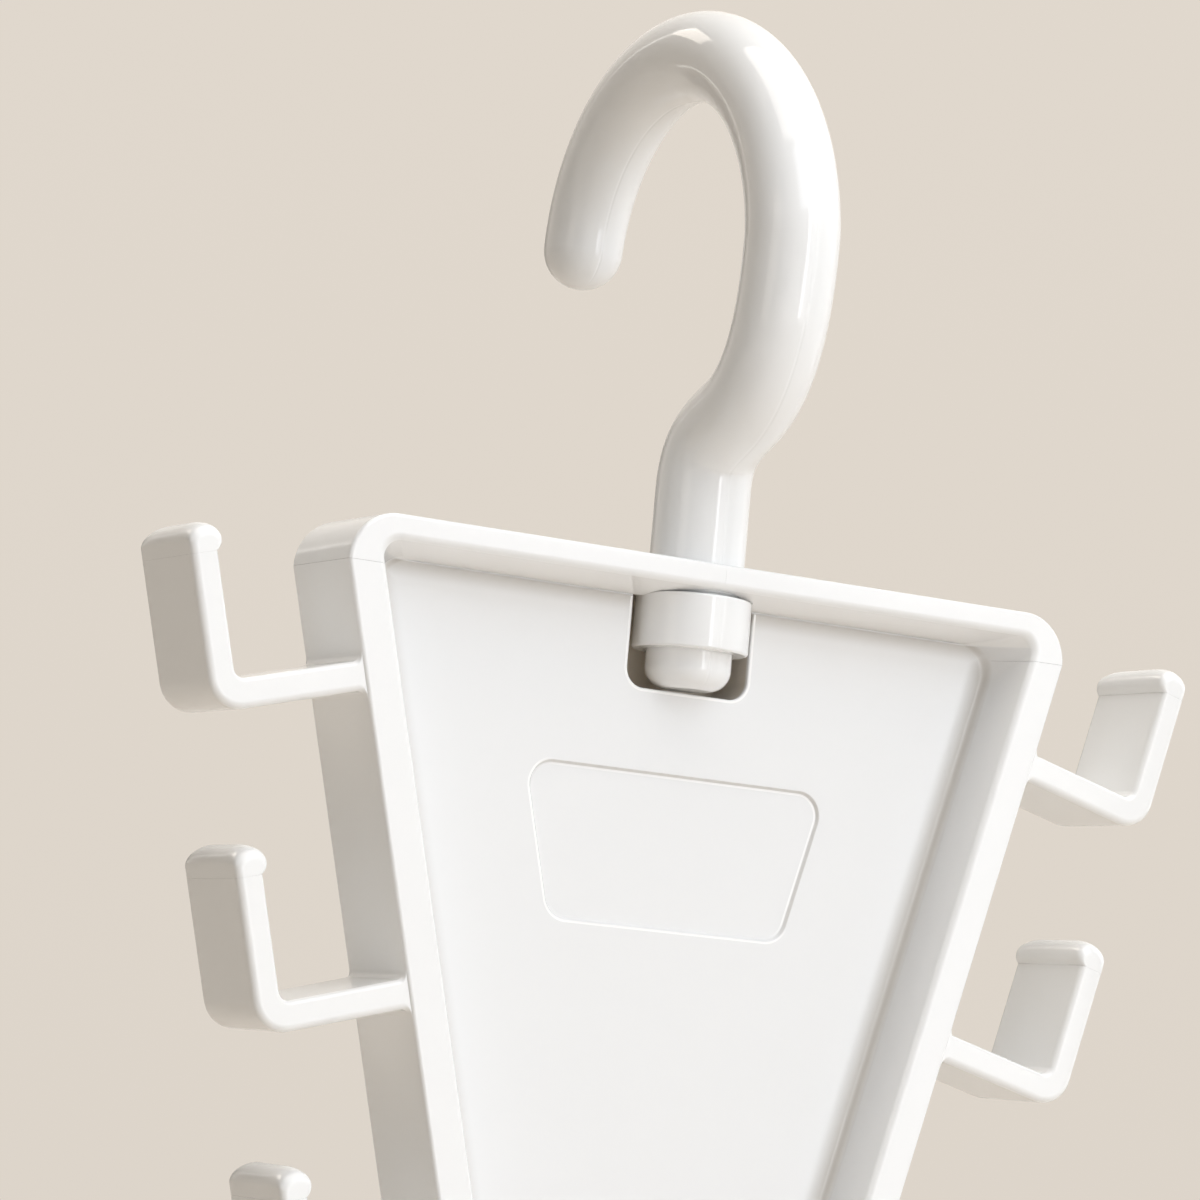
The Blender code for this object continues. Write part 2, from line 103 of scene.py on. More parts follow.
class HangerBodySettings(bpy.types.PropertyGroup):
    """Sizes of the tapered frame and its panel."""

    top_wall: length("Top wall", 3.5, "Height of the top rail at its front edge")
    side_wall: length("Side wall", 5.5, "Width of a side rail at its front edge")
    draft: number("Draft", 0.2, "Slope of the inner walls")
    panel_front: length("Panel front", 8.6, "Depth of the panel's front below the rails' front")
    panel_thickness: length("Panel thickness", 2.4, "Thickness of the panel")
    edge_rounding: length("Edge rounding", 0.55, "Rounding of the rails' outer edges")
    mouth_rounding: length("Mouth rounding", 0.9, "Rounding of the rails' inner edges")
    mouth_corner: length(
        "Mouth corner", 2.3, "Radius of the recess's upper corners at the rails' edges"
    )
    panel_fillet: length("Panel fillet", 1.1, "Fillet between the panel and the side rails")
    corner_fillet: length("Corner fillet", 4.6, "Radius of the recess's upper corners at the panel")
    seam_gap: length("Seam gap", 0.035, "Width of the fine line between two mouldings")
    top_line: length(
        "Top line", 0.28, "Height of the fine groove between the panel and the top rail"
    )
    hidden_lap: length("Hidden lap", 0.4, "How far the panel reaches into the rails' grooves")
    label_top: length("Label top", 30.8, "Top of the label recess below the top rail")
    label_height: length("Label height", 22.4, "Height of the label recess")
    label_half_width: length("Label half width", 22.5, "Half the label recess's middle width")
    label_radius: length("Label radius", 3.5, "Radius of the label recess's corners")
    label_depth: length("Label depth", 0.5, "Depth of the label recess")
    label_edge: length("Label edge", 0.46, "Width of the label recess's sloping edge")
    window_half_width: length("Window half width", 10.2, "Half the width of the collar's window")
    window_bottom: length("Window bottom", 18.6, "Bottom of the window below the top rail")
    window_radius: length("Window radius", 2.9, "Radius of the window's lower corners")
    window_rim: length("Window rim", 0.25, "Rounding of the window's rim")
    # Painted highlight: width of the painted bright line beside a recess's edge.
    painted_highlight_line: length("Bright line", 0.28, "Width of the polished line beside a recess's edge")


class RodHookSettings(bpy.types.PropertyGroup):
    """Sizes of the hook that goes over the rod, with its shank and collar."""

    crown_radius: length("Crown radius", 31.45, "Radius of the hook's centre line")
    crown_height: length("Crown height", 47.4, "Height of the crown's centre above the top rail")
    crown_offset: length("Crown offset", 12.2, "How far the crown's centre lies behind the shank")
    crown_lean: length("Crown lean", 1.6, "How far the crown departs from a circle")
    crown_rod: length("Crown rod", 6.95, "Radius of the rod at the crown")
    tip_rod: length("Tip rod", 6.2, "Radius of the rod at its tip")
    neck_rod: length("Neck rod", 6.8, "Radius of the rod at the neck")
    shank_rod: length("Shank rod", 7.05, "Radius of the shank")
    nose_rod: length("Nose rod", 6.35, "Radius of the nose below the collar")
    nose_rounding: length("Nose rounding", 3.2, "Rounding of the nose's lower edge")
    line_width: length("Line width", 0.34, "Width of the mould's parting line")
    line_depth: length("Line depth", 0.035, "Depth of the mould's parting line")
    sides: IntProperty(name="Sides", description="Points round the rod", default=160, min=16)


class SideHookSettings(bpy.types.PropertyGroup):
    """Sizes of the L-shaped side hooks and their tips."""

    count: IntProperty(
        name="Hooks per side", description="Side hooks on each rail", default=4, min=1
    )
    first: length("First hook", 14.3, "From the upper seam to the first arm, along the rail")
    last: length("Last hook", 19.9, "From the last arm to the lower seam, along the rail")
    reach: length("Reach", 23.3, "From the rail to a leg's outer face")
    arm: length("Arm", 4.25, "Thickness of an arm")
    leg: length("Leg", 4.05, "Thickness of a leg")
    leg_height: length("Leg height", 17.7, "From an arm's top to its leg's seam")
    inner_radius: length("Inner radius", 1.5, "Radius inside the elbow")
    outer_radius: length("Outer radius", 4.8, "Radius outside the elbow")
    flare: length("Flare", 1.1, "Fillet where the arm meets the rail")
    outer_rounding: length("Outer rounding", 1.05, "Rounding of the outer edges")
    inner_rounding: length("Inner rounding", 0.7, "Rounding of the inner edges")
    root_lap: length("Root lap", 0.5, "How far an arm's root reaches into its rail")
    setback: length("Setback", 0.4, "How far the hooks lie behind the rails' faces")
    tip_gap: length("Tip gap", 0.015, "Width of the fine line under a bead")
    bead_top: length("Bead top", 4.3, "From the leg's seam to the bead's top")
    bead_outer: length("Bead outer width", 2.8, "From the bead's top to its outer side")
    bead_inner: length("Bead inner width", 2.2, "From the bead's top to its inner side")
    bead_rise: length("Bead rise", 1.95, "From the leg's seam to the bead's widest part")
    bead_shoulder: length(
        "Bead shoulder", 1.9, "From the leg's seam to where the bead's outer side turns"
    )
    end_length: length("End length", 4.6, "How far from its ends a bead's top starts to come down")
    end_drop: length("End drop", 1.6, "How far a bead's top comes down at its ends")


class FinishSettings(bpy.types.PropertyGroup):
    """Colours of the mouldings and the stage."""

    rod_white: colour(
        "Rod hook white", (0.925, 0.928, 0.93), "Colour of the rod hook and its collar"
    )
    body_white: colour("Body white", (0.912, 0.915, 0.918), "Colour of the frame and the panel")
    arm_white: colour("Side hook white", (0.925, 0.928, 0.928), "Colour of the side hooks")
    # Painted warm shade: the white plastic deep inside the pocket lies in shade.
    pocket: colour("Pocket", (0.97, 0.89, 0.78), "Tone deep inside the collar's pocket")
    wall: colour("Backdrop", (0.748, 0.686, 0.612), "Colour behind the hanger")
    floor: colour("Floor", (0.76, 0.70, 0.63), "Colour of the floor")


# Small mesh tools

WELD = 0.002 * MM
SHARP_ANGLE = math.radians(38.0)


def arc(centre, radius, start, end, steps, rise=None):
    """Points on an arc, both ends included; rise is the upright radius of an oval one."""
    tall = radius if rise is None else rise
    points = []
    for i in range(steps + 1):
        angle = start + (end - start) * i / steps
        points.append((centre[0] + radius * math.cos(angle), centre[1] + tall * math.sin(angle)))
    return points


def mirrored(half):
    """Closed outline from its right half."""
    return half + [(-x, z) for x, z in reversed(half)]


def skin(rings, closed=False):
    """Mesh through equal rings, with flat caps unless the rings themselves close."""
    bm = bmesh.new()
    rows = [[bm.verts.new(point) for point in ring] for ring in rings]
    pairs = list(zip(rows, rows[1:]))
    if closed:
        pairs.append((rows[-1], rows[0]))
    for one, two in pairs:
        for i in range(len(one)):
            j = (i + 1) % len(one)
            bm.faces.new((one[i], one[j], two[j], two[i]))
    if not closed:
        bm.faces.new(rows[0])
        bm.faces.new(rows[-1])
    bmesh.ops.recalc_face_normals(bm, faces=bm.faces)
    return bm


def linked(name, data):
    """New object in the scene for a mesh, camera or lamp."""
    obj = bpy.data.objects.new(name, data)
    bpy.context.scene.collection.objects.link(obj)
    return obj


def as_object(name, bm):
    """Object that holds a bmesh."""
    mesh = bpy.data.meshes.new(name)
    bm.to_mesh(mesh)
    bm.free()
    return linked(name, mesh)


def loft(name, stations):
    """Solid through outlines in X and Z, each at its own depth."""
    return as_object(name, skin([[(x, y, z) for x, z in outline] for outline, y in stations]))


def settle(obj):
    """Replace an object's mesh by its evaluated one and drop its modifiers."""
    bpy.context.view_layer.update()
    graph = bpy.context.evaluated_depsgraph_get()
    mesh = bpy.data.meshes.new_from_object(obj.evaluated_get(graph), depsgraph=graph)
    old = obj.data
    obj.modifiers.clear()
    obj.data = mesh
    mesh.name = obj.name
    bpy.data.meshes.remove(old)
    return obj


def carve(obj, tool, operation="DIFFERENCE"):
    """Exact boolean, applied at once; the tool is used up."""
    modifier = obj.modifiers.new("carve", "BOOLEAN")
    modifier.operation = operation
    modifier.solver = "EXACT"
    modifier.object = tool
    settle(obj)
    bpy.data.objects.remove(tool, do_unlink=True)


def smooth(obj, turn_out=False):
    """Weighted smooth shading, so that flat faces stay flat beside their roundings.

    With turn_out, all faces are turned outward first.
    """
    bm = bmesh.new()
    bm.from_mesh(obj.data)
    if turn_out:
        bmesh.ops.recalc_face_normals(bm, faces=bm.faces)
    bmesh.ops.remove_doubles(bm, verts=bm.verts, dist=WELD)
    bmesh.ops.dissolve_degenerate(bm, edges=bm.edges, dist=WELD)
    bm.to_mesh(obj.data)
    bm.free()
    obj.data.shade_smooth()
    obj.data.set_sharp_from_angle(angle=SHARP_ANGLE)
    modifier = obj.modifiers.new("weighted", "WEIGHTED_NORMAL")
    modifier.keep_sharp = True
    modifier.weight = 90
    return settle(obj)


def roll(radius, steps):
    """(inset, drop) pairs of a quarter round, from the flat face to the side."""
    pairs = []
    for i in range(steps + 1):
        angle = math.pi / 2 * i / steps
        pairs.append((radius * (1 - math.sin(angle)), radius * (1 - math.cos(angle))))
    return pairs


# Material nodes


class Value:
    """Socket whose arithmetic adds Math nodes."""

    def __init__(self, nodes, socket):
        self.nodes = nodes
        self.socket = socket

    def maths(self, operation, first, second):
        return self.nodes.add("ShaderNodeMath", {"operation": operation}, [first, second])

    def __add__(self, other):
        return self.maths("ADD", self, other)

    def __radd__(self, other):
        return self.maths("ADD", other, self)

    def __sub__(self, other):
        return self.maths("SUBTRACT", self, other)

    def __rsub__(self, other):
        return self.maths("SUBTRACT", other, self)

    def __mul__(self, other):
        return self.maths("MULTIPLY", self, other)

    def __rmul__(self, other):
        return self.maths("MULTIPLY", other, self)

    def __truediv__(self, other):
        return self.maths("DIVIDE", self, other)

    def of(self, operation, other=0.0):
        return self.maths(operation, self, other)

    def siblings(self):
        """Every named output of the same node."""
        outputs = [socket for socket in self.socket.node.outputs if socket.name]
        return {socket.name: Value(self.nodes, socket) for socket in outputs}


class Nodes:
    """Node tree that is filled through one method."""

    def __init__(self, tree):
        self.tree = tree

    def add(self, kind, settings=None, inputs=(), output=0):
        """Add a node; inputs are values or links, by position or by name."""
        node = self.tree.nodes.new(kind)
        for key, value in (settings or {}).items():
            setattr(node, key, value)
        self.feed(node, inputs)
        return Value(self, node.outputs[output]) if node.outputs else None

    def feed(self, node, inputs):
        """Set or link the inputs of a node."""
        pairs = inputs.items() if isinstance(inputs, dict) else enumerate(inputs)
        for key, value in pairs:
            if isinstance(value, Value):
                self.tree.links.new(value.socket, node.inputs[key])
            else:
                node.inputs[key].default_value = value

    def parts(self, vector):
        """X, Y and Z of a vector."""
        return self.add("ShaderNodeSeparateXYZ", {}, [vector]).siblings().values()

    def point(self, x, y, z):
        """Vector from its parts."""
        return self.add("ShaderNodeCombineXYZ", {}, [x, y, z])

    def vector(self, operation, *inputs):
        """Number from a Vector Math node."""
        return self.add("ShaderNodeVectorMath", {"operation": operation}, inputs, "Value")

    def noise(self, place, scale, detail, roughness=0.5):
        """Noise over a place."""
        inputs = {"Vector": place, "Scale": scale, "Detail": detail, "Roughness": roughness}
        return self.add("ShaderNodeTexNoise", {}, inputs)


def ramp_up(value, start, end):
    """Smooth step of a value between start and end."""
    share = ((value - start) / (end - start)).of("MAXIMUM", 0.0).of("MINIMUM", 1.0)
    return share * share * (3.0 - share * 2.0)


def rise(value, start, end, base=0.0):
    """Smooth step between two places in millimetres past a base."""
    return ramp_up(value, base + start * MM, base + end * MM)


def blend(nodes, share, first, second):
    """Colour between two colours, or sockets that carry one."""
    ends = [end if isinstance(end, Value) else (*end, 1.0) for end in (first, second)]
    inputs = {0: share, 6: ends[0], 7: ends[1]}
    return nodes.add("ShaderNodeMix", {"data_type": "RGBA"}, inputs, output=2)


def times(tone, share):
    """Colour times one share, or times a share for each channel."""
    shares = share if isinstance(share, tuple) else (share,) * 3
    return tuple(channel * part for channel, part in zip(tone, shares))


def new_material(name):
    """Material with its nodes, its shader and the place on the object."""
    material = bpy.data.materials.new(name)
    material.use_nodes = True
    nodes = Nodes(material.node_tree)
    place = nodes.add("ShaderNodeTexCoord", output="Object")
    return material, nodes, material.node_tree.nodes["Principled BSDF"], place


CLOUD_SCALE = 28.0
SMEAR_SCALE = 160.0
CLOUD_TINT = (0.99, 0.99, 0.985)
RECESS_PAINTED_SHADE = 0.915
CORNER_PAINTED_SHADE = (0.63, 0.6, 0.56)
LABEL_EDGE_PAINTED_SHADE = (0.86, 0.85, 0.835)
POCKET_RIGHT_PAINTED_SHADE = 0.68
UNDER_RAIL_PAINTED_LIGHT = (0.975, 0.97, 0.96)
PAINTED_HIGHLIGHT_TONE = (0.965, 0.965, 0.96)
POCKET_MARGIN = 0.7 * MM


def moulded_plastic(name, base, roughness, grain_scale, grain_height, paint_light_and_shade=None):
    """Glossy moulded plastic: faint flow clouding, uneven gloss and a very fine skin."""
    material, nodes, shader, place = new_material(name)
    cloud = nodes.noise(place, CLOUD_SCALE, 3.0)
    smear = nodes.noise(place, SMEAR_SCALE, 4.0, 0.6)
    grain = nodes.noise(place, grain_scale, 2.0)
    tone = blend(nodes, (cloud - 0.5) * 1.2 + 0.5, base, times(base, CLOUD_TINT))
    # Painted shade and painted light by place, for the body only.
    if paint_light_and_shade:
        tone = paint_light_and_shade(nodes, place, tone)
    fine_skin = {"Strength": 1.0, "Distance": grain_height * MM, "Height": grain}
    values = {
        "Base Color": tone,
        "Roughness": roughness + (smear - 0.5) * 0.04 + (cloud - 0.5) * 0.02,
        "Normal": nodes.add("ShaderNodeBump", {}, fine_skin),
        "IOR": 1.5,
        "Specular IOR Level": 0.5,
    }
    nodes.feed(shader, values)
    return material


def painted_shade_and_light(nodes, place, tone):
    """Painted shade and light by place: shade in the recesses, at the panel's edges and in the
    pocket, a lighter underside of the top rail, and highlights and shade on fine lines.
    """
    size, look = bpy.context.scene.hanger_body, bpy.context.scene.hanger_finish
    x, y, z = nodes.parts(place)
    across = x.of("ABSOLUTE")
    panel_front, panel_back = panel_faces(size)
    mouth_top = RAIL_TOP - size.top_wall
    ceiling = mouth_top - size.draft * size.panel_front
    wall = size.side_wall / math.cos(TAPER)
    foot = (size.side_wall + size.draft * size.panel_front) / math.cos(TAPER)
    side = (z - TOP_SEAM) * math.tan(TAPER) + HALF_WIDTH - across
    within = rise(side, -1.0, 0.6, wall)
    below = rise(ceiling - z, 0.02, 0.3)
    deep = rise(y - FRONT, 0.5, 6.0) * rise(BACK - y, 0.5, 6.0)
    # Painted shade: the panel and the walls inside both recesses are darkened.
    tone = blend(nodes, within * below * deep, tone, times(look.body_white, RECESS_PAINTED_SHADE))
    # Painted shade: darker where the panel meets the side walls and the top rail, on both faces,
    # fading out over a few millimetres.
    edge = (1.0 - rise(side, 0.0, 4.2, foot)).of("MAXIMUM", 1.0 - rise(ceiling - z, 0.0, 3.0))
    near = rise(y, -1.4, -0.1, panel_front) * rise(panel_back - y, -1.4, 0.1)
    corner = times(look.body_white, CORNER_PAINTED_SHADE)
    tone = blend(nodes, edge * near * within * below, tone, corner)
    # Painted light: the underside of the top rail in the front recess is lighter, standing in for
    # light from below.
    under = rise(z, -0.05, 0.0, ceiling) * rise(mouth_top + 0.15 * MM - z, 0.0, 0.1)
    under = under * rise(y - FRONT, 0.3, 1.2) * rise(panel_front - y, -0.05, 0.05)
    tone = blend(nodes, under * within, tone, UNDER_RAIL_PAINTED_LIGHT)
    # Painted shade: the pocket behind the window takes the warm pocket tone, darker towards its
    # right side.
    pocket = rise(y, 0.3, 0.9, panel_front) * rise(BACK - y, 0.5, 0.6)
    pocket = pocket * rise(size.window_half_width + POCKET_MARGIN - across, 0.0, 0.2)
    pocket = pocket * rise(z - RAIL_TOP + size.window_bottom + POCKET_MARGIN, 0.0, 0.2)
    darker = times(look.pocket, POCKET_RIGHT_PAINTED_SHADE)
    tone = blend(nodes, pocket, tone, blend(nodes, rise(x, -4.0, 8.0), look.pocket, darker))
    # Painted highlights outside the label's left and lower edges, inside its upper and right edges
    # and round the window; painted shade on the label's upper and right slopes.
    polish = nodes.add("ShaderNodeAttribute", {"attribute_name": "polish"}, output="Fac")
    tone = blend(nodes, polish * -1.0, tone, times(look.body_white, LABEL_EDGE_PAINTED_SHADE))
    return blend(nodes, polish, tone, PAINTED_HIGHLIGHT_TONE)


def finish_of(kind):
    """Material of one kind of moulding, made once."""
    look = bpy.context.scene.hanger_finish
    values = {
        "rod_hook_gloss": (look.rod_white, 0.06, 900.0, 0.002),
        # The body's material also carries painted shade and painted light.
        "body_gloss": (look.body_white, 0.1, 1400.0, 0.006, painted_shade_and_light),
        "side_hook_gloss": (look.arm_white, 0.085, 1100.0, 0.004),
    }
    return bpy.data.materials.get(kind) or moulded_plastic(kind, *values[kind])


def dress(obj, kind, body, slot, *replaced):
    """Give a finished piece its material and its body, and hide the packed solids that it stands
    for.
    """
    if not obj.data.polygons:
        raise RuntimeError(obj.name + " came out empty")
    if not obj.data.materials:
        obj.data.materials.append(finish_of(kind))
    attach(obj, body)
    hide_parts(*replaced)


# Steps, gaps and small sizes that the pieces share

CORNER_STEPS = 14
ROLL_STEPS = 6
FILLET_STEPS = 8
END_STEPS = 8
TURNED_STEPS = 96
CROWDING = 0.44
LINE_STEP = 0.003 * MM
BORE_GAP = 0.16 * MM
BORE_LIP = 0.35 * MM
SEAT_GAP = 0.07 * MM
COLLAR_GAP = 0.12 * MM
COLLAR_ROUNDING = 0.45 * MM
SHOULDER_GAP = 0.3 * MM
RAIL_LINE_DEPTH = 0.06 * MM
POCKET_WALL = 1.4 * MM
POCKET_BACK_WALL = 0.9 * MM
HOUSING_ROUNDING = 0.5 * MM
TOP_LINE_END = 1.65
TOP_LINE_SLOPE = 12


# Body: rails and tray


def outer_half(inset):
    """Right half of the body's outline, moved in by inset, top to bottom."""
    seam_x = HALF_WIDTH - inset / math.cos(TAPER)
    radius = TOP_RADIUS - inset
    points = arc((seam_x - radius, TOP_SEAM), radius, math.pi / 2, 0.0, CORNER_STEPS)
    return points + foot_arc(inset)


def foot_arc(inset):
    """Lower corner of the outline, from the lower seam to the underside."""
    centre = (
        FOOT_HALF_WIDTH - FOOT_RADIUS * math.cos(TAPER),
        BOTTOM_SEAM + FOOT_RADIUS * math.sin(TAPER),
    )
    return arc(centre, FOOT_RADIUS - inset, -TAPER, -math.pi / 2, CORNER_STEPS)


def recess_half(size, inset, radius):
    """Right half of the recess's outline, moved in by inset, with upper corners of a radius."""
    top = RAIL_TOP - size.top_wall - inset
    wall = size.side_wall + inset
    centre_z = top - radius
    side = HALF_WIDTH - wall / math.cos(TAPER) - (TOP_SEAM - centre_z) * math.tan(TAPER)
    centre_x = side - radius / math.cos(TAPER)
    points = arc((centre_x, centre_z), radius, math.pi / 2, -TAPER, CORNER_STEPS)
    return points + foot_arc(wall)


def recess_outline(size, share, growth, side=0.0, reach=0.0):
    """Recess outline between the rails' edges (share 0) and the panel (share 1).

    Growth moves it in all round and side moves only its sides; reach lengthens it.
    """
    mouth = recess_half(size, growth, size.mouth_corner - min(growth, 0.0))
    floor = recess_half(size, growth, size.corner_fillet)
    middle = (TOP_SEAM + BOTTOM_SEAM) / 2
    half = []
    for (mx, mz), (fx, fz) in zip(mouth, floor):
        x = mx + (fx - mx) * share - side
        z = mz + (fz - mz) * share
        half.append((x, z + reach * math.copysign(1.0, z - middle)))
    return mirrored(half)


def panel_faces(size):
    """Depths of the panel's front and back faces."""
    front = FRONT + size.panel_front
    return front, front + size.panel_thickness


def recess_stations(size, near, far, fillet):
    """Outlines of one recess from its mouth at depth near to the panel at depth far."""
    way = 1 if far > near else -1
    deep = abs(far - near)
    last = deep - fillet
    stations = [(recess_outline(size, 0.0, -size.mouth_rounding), near - way * OVERRUN)]

    def add(down, inset=0.0, side=0.0):
        outline = recess_outline(size, down / deep, size.draft * down - inset, side)
        stations.append((outline, near + way * down))

    for inset, drop in roll(size.mouth_rounding, ROLL_STEPS):
        add(drop, inset)
    add(last)
    if fillet:
        for i in range(1, FILLET_STEPS + 1):
            angle = math.pi / 2 * i / FILLET_STEPS
            add(last + fillet * math.sin(angle), 0.0, fillet * (1 - math.cos(angle)))
    return stations


def body_stations(size, halves):
    """Outer outlines from front to back with both edges rounded."""
    quarter = roll(size.edge_rounding, ROLL_STEPS)
    stations = [(halves(inset), FRONT + drop) for inset, drop in quarter]
    return stations + [(halves(inset), BACK - drop) for inset, drop in reversed(quarter)]


def through_cavity(size):
    """One tool for the rails: both recesses with the panel's space between them."""
    panel_front, panel_back = panel_faces(size)
    front = recess_stations(size, FRONT, panel_front, 0.0)
    return loft("cavity", front + recess_stations(size, BACK, panel_back, 0.0)[::-1])


def turned(name, profile, steps, closed=False, line_width=0.0, line_depth=0.0):
    """Solid turned about the shank's axis from (radius, z) pairs."""
    rings = []
    for i in range(steps):
        even = math.tau * i / steps
        angle = even + CROWDING * math.sin(2 * even)
        across, along = math.cos(angle), math.sin(angle)
        near = 0.0
        if line_width:
            near = max(0.0, 1.0 - abs(across) * profile[0][0] / line_width)
        dip = line_depth * near * near * (3 - 2 * near)
        rings.append([((r - dip) * across, SHANK_Y + (r - dip) * along, z) for r, z in profile])
    if not closed:
        rings = [[ring[k] for ring in rings] for k in range(len(profile))]
    return as_object(name, skin(rings, closed))


def build_top_rail():
    """Top rail with both quarter-round corners, the shank's bore and the collar's seat."""
    size = bpy.context.scene.hanger_body
    bore = bpy.context.scene.hanger_rod.shank_rod + BORE_GAP

    def above_seam(inset):
        return mirrored(outer_half(inset)[: CORNER_STEPS + 1])

    rail = loft("top_rail_shell", body_stations(size, above_seam))
    carve(rail, through_cavity(size))
    mouth = [(bore + inset, RAIL_TOP - drop) for inset, drop in roll(BORE_LIP, ROLL_STEPS)]
    profile = [(bore + BORE_LIP, RAIL_TOP + OVERRUN)] + mouth + [(bore, TOP_SEAM - OVERRUN)]
    carve(rail, turned("bore", profile, TURNED_STEPS))
    seat = COLLAR_HIGH.x + SEAT_GAP
    profile = [(seat, COLLAR_HIGH.z + SEAT_GAP), (seat, TOP_SEAM - OVERRUN)]
    carve(rail, turned("seat", profile, TURNED_STEPS))
    line, depth = size.seam_gap, RAIL_LINE_DEPTH
    outline = [(-line, FRONT - depth), (0.0, FRONT + depth), (line, FRONT - depth)]
    groove = skin([[(x, y, z) for x, y in outline] for z in (TOP_SEAM, RAIL_TOP + OVERRUN)])
    carve(rail, as_object("rail_line", groove))
    return smooth(rail)


def build_bottom_rail():
    """Bottom rail with its two rounded corners."""
    size = bpy.context.scene.hanger_body

    def below_seam(inset):
        return mirrored(outer_half(inset)[CORNER_STEPS + 1 :])

    rail = loft("bottom_rail_shell", body_stations(size, below_seam))
    carve(rail, through_cavity(size))
    return smooth(rail)


def label_outline(size, grow):
    """Rounded trapezoid whose sides follow the body's taper."""
    quarter, radius = math.pi / 2, size.label_radius
    lean = math.tan(TAPER) * size.label_height / 2
    top = RAIL_TOP - size.label_top
    low = top - size.label_height + radius
    half = []
    for middle, z, start, end, turn in (
        (size.label_half_width + lean, top - radius, quarter, -TAPER, quarter + TAPER),
        (size.label_half_width - lean, low, -TAPER, -quarter, quarter - TAPER),
    ):
        x = middle - radius * math.tan(turn / 2)
        half += arc((x, z), radius + grow, start, end, CORNER_STEPS)
    return mirrored(half)


def open_topped(half, top, bottom, radius):
    """Outline with two rounded lower corners."""
    corner = arc((half - radius, bottom + radius), radius, 0.0, -math.pi / 2, CORNER_STEPS)
    return mirrored([(half, top)] + corner)


def window_outline(size, grow):
    """Window for the collar: open at the top, rounded at the lower corners."""
    half, radius = size.window_half_width + grow, size.window_radius + grow
    bottom = RAIL_TOP - size.window_bottom - grow
    return open_topped(half, RAIL_TOP - size.top_wall, bottom, radius)


def pocket_housing(size, panel_middle):
    """Closed boss behind the panel round the collar's pocket, with rounded edges."""
    top = RAIL_TOP - size.top_wall + size.hidden_lap

    def outline(inset):
        half = size.window_half_width + POCKET_WALL - inset
        bottom = RAIL_TOP - size.window_bottom - POCKET_WALL + inset
        return open_topped(half, top, bottom, size.window_radius + POCKET_WALL - inset)

    quarter = roll(HOUSING_ROUNDING, ROLL_STEPS)
    stations = [(outline(inset), BACK - drop) for inset, drop in reversed(quarter)]
    return loft("housing", [(outline(0.0), panel_middle)] + stations)


def build_tray():
    """Side rails and panel in one moulding, with the window, pocket and label recess."""
    size = bpy.context.scene.hanger_body
    gap, lap = size.seam_gap, size.hidden_lap
    panel_front, panel_back = panel_faces(size)

    def between_seams(inset):
        side = HALF_WIDTH - inset / math.cos(TAPER)
        ends = (TOP_SEAM - gap, BOTTOM_SEAM + gap)
        return mirrored([(side - (TOP_SEAM - z) * math.tan(TAPER), z) for z in ends])

    def panel_block(drop, reach):
        return recess_outline(size, drop / size.panel_front, size.draft * drop, -lap, reach)

    tray = loft("tray_shell", body_stations(size, between_seams))
    early = size.panel_front - size.panel_fillet
    late = BACK - panel_back - size.panel_fillet
    shy = -0.02 * MM
    fillets = [
        (panel_block(early, shy), FRONT + early),
        (panel_block(size.panel_front, shy), panel_front),
        (panel_block(size.panel_front, shy), panel_back),
        (panel_block(late, shy), BACK - late),
    ]
    carve(tray, loft("fillet_block", fillets), "UNION")
    slab = panel_block(size.panel_front, lap)
    carve(tray, loft("panel_slab", [(slab, panel_front), (slab, panel_back)]), "UNION")
    for near, far in ((FRONT, panel_front), (BACK, panel_back)):
        carve(tray, loft("recess", recess_stations(size, near, far, size.panel_fillet)))
    carve(tray, pocket_housing(size, (panel_front + panel_back) / 2), "UNION")

    rim, line = size.window_rim, size.painted_highlight_line
    # A ring just outside the window's rim carries the painted highlight line.
    rings = [(rim + line, -OVERRUN), (rim + line, LINE_STEP)]
    rings += [(inset, max(drop, 2 * LINE_STEP)) for inset, drop in roll(rim, ROLL_STEPS)]
    stations = [(window_outline(size, grow), panel_front + down) for grow, down in rings]
    stations.append((window_outline(size, 0.0), BACK - POCKET_BACK_WALL))
    carve(tray, loft("window", stations))

    ceiling = RAIL_TOP - size.top_wall - size.draft * size.panel_front
    reach = HALF_WIDTH - size.side_wall - size.corner_fillet * TOP_LINE_END
    run_out = (reach - TOP_LINE_SLOPE * size.top_line, ceiling - size.top_line)
    groove = mirrored([(reach, ceiling + lap / 2), (reach, ceiling), run_out])
    ends = (panel_front - OVERRUN, panel_front + size.top_line)
    carve(tray, loft("top_line", [(groove, depth) for depth in ends]))

    edge, deep = size.label_edge, size.label_depth
    # A ring just outside the label carries its painted highlight line.
    rings = [(edge / 2 + line, -OVERRUN), (edge / 2 + line, LINE_STEP)]
    for i in range(FILLET_STEPS + 1):
        share = i / FILLET_STEPS
        ease = share * share * (3 - 2 * share)
        rings.append((edge * (0.5 - share), max(deep * ease, 2 * LINE_STEP)))
    for i in (1, 2):
        rings.append((-edge / 2 - line - (i - 1) * 0.03 * MM, deep + i * LINE_STEP))
    stations = [(label_outline(size, grow), panel_front + down) for grow, down in rings]
    carve(tray, loft("label", stations))
    smooth(tray)
    # Painted highlight and painted shade, vertex by vertex, beside the label and the window.
    polish = tray.data.attributes.new("polish", "FLOAT", "POINT")
    for vertex in tray.data.vertices:
        polish.data[vertex.index].value = edge_highlight_and_shade_at(size, vertex.co)
    return tray


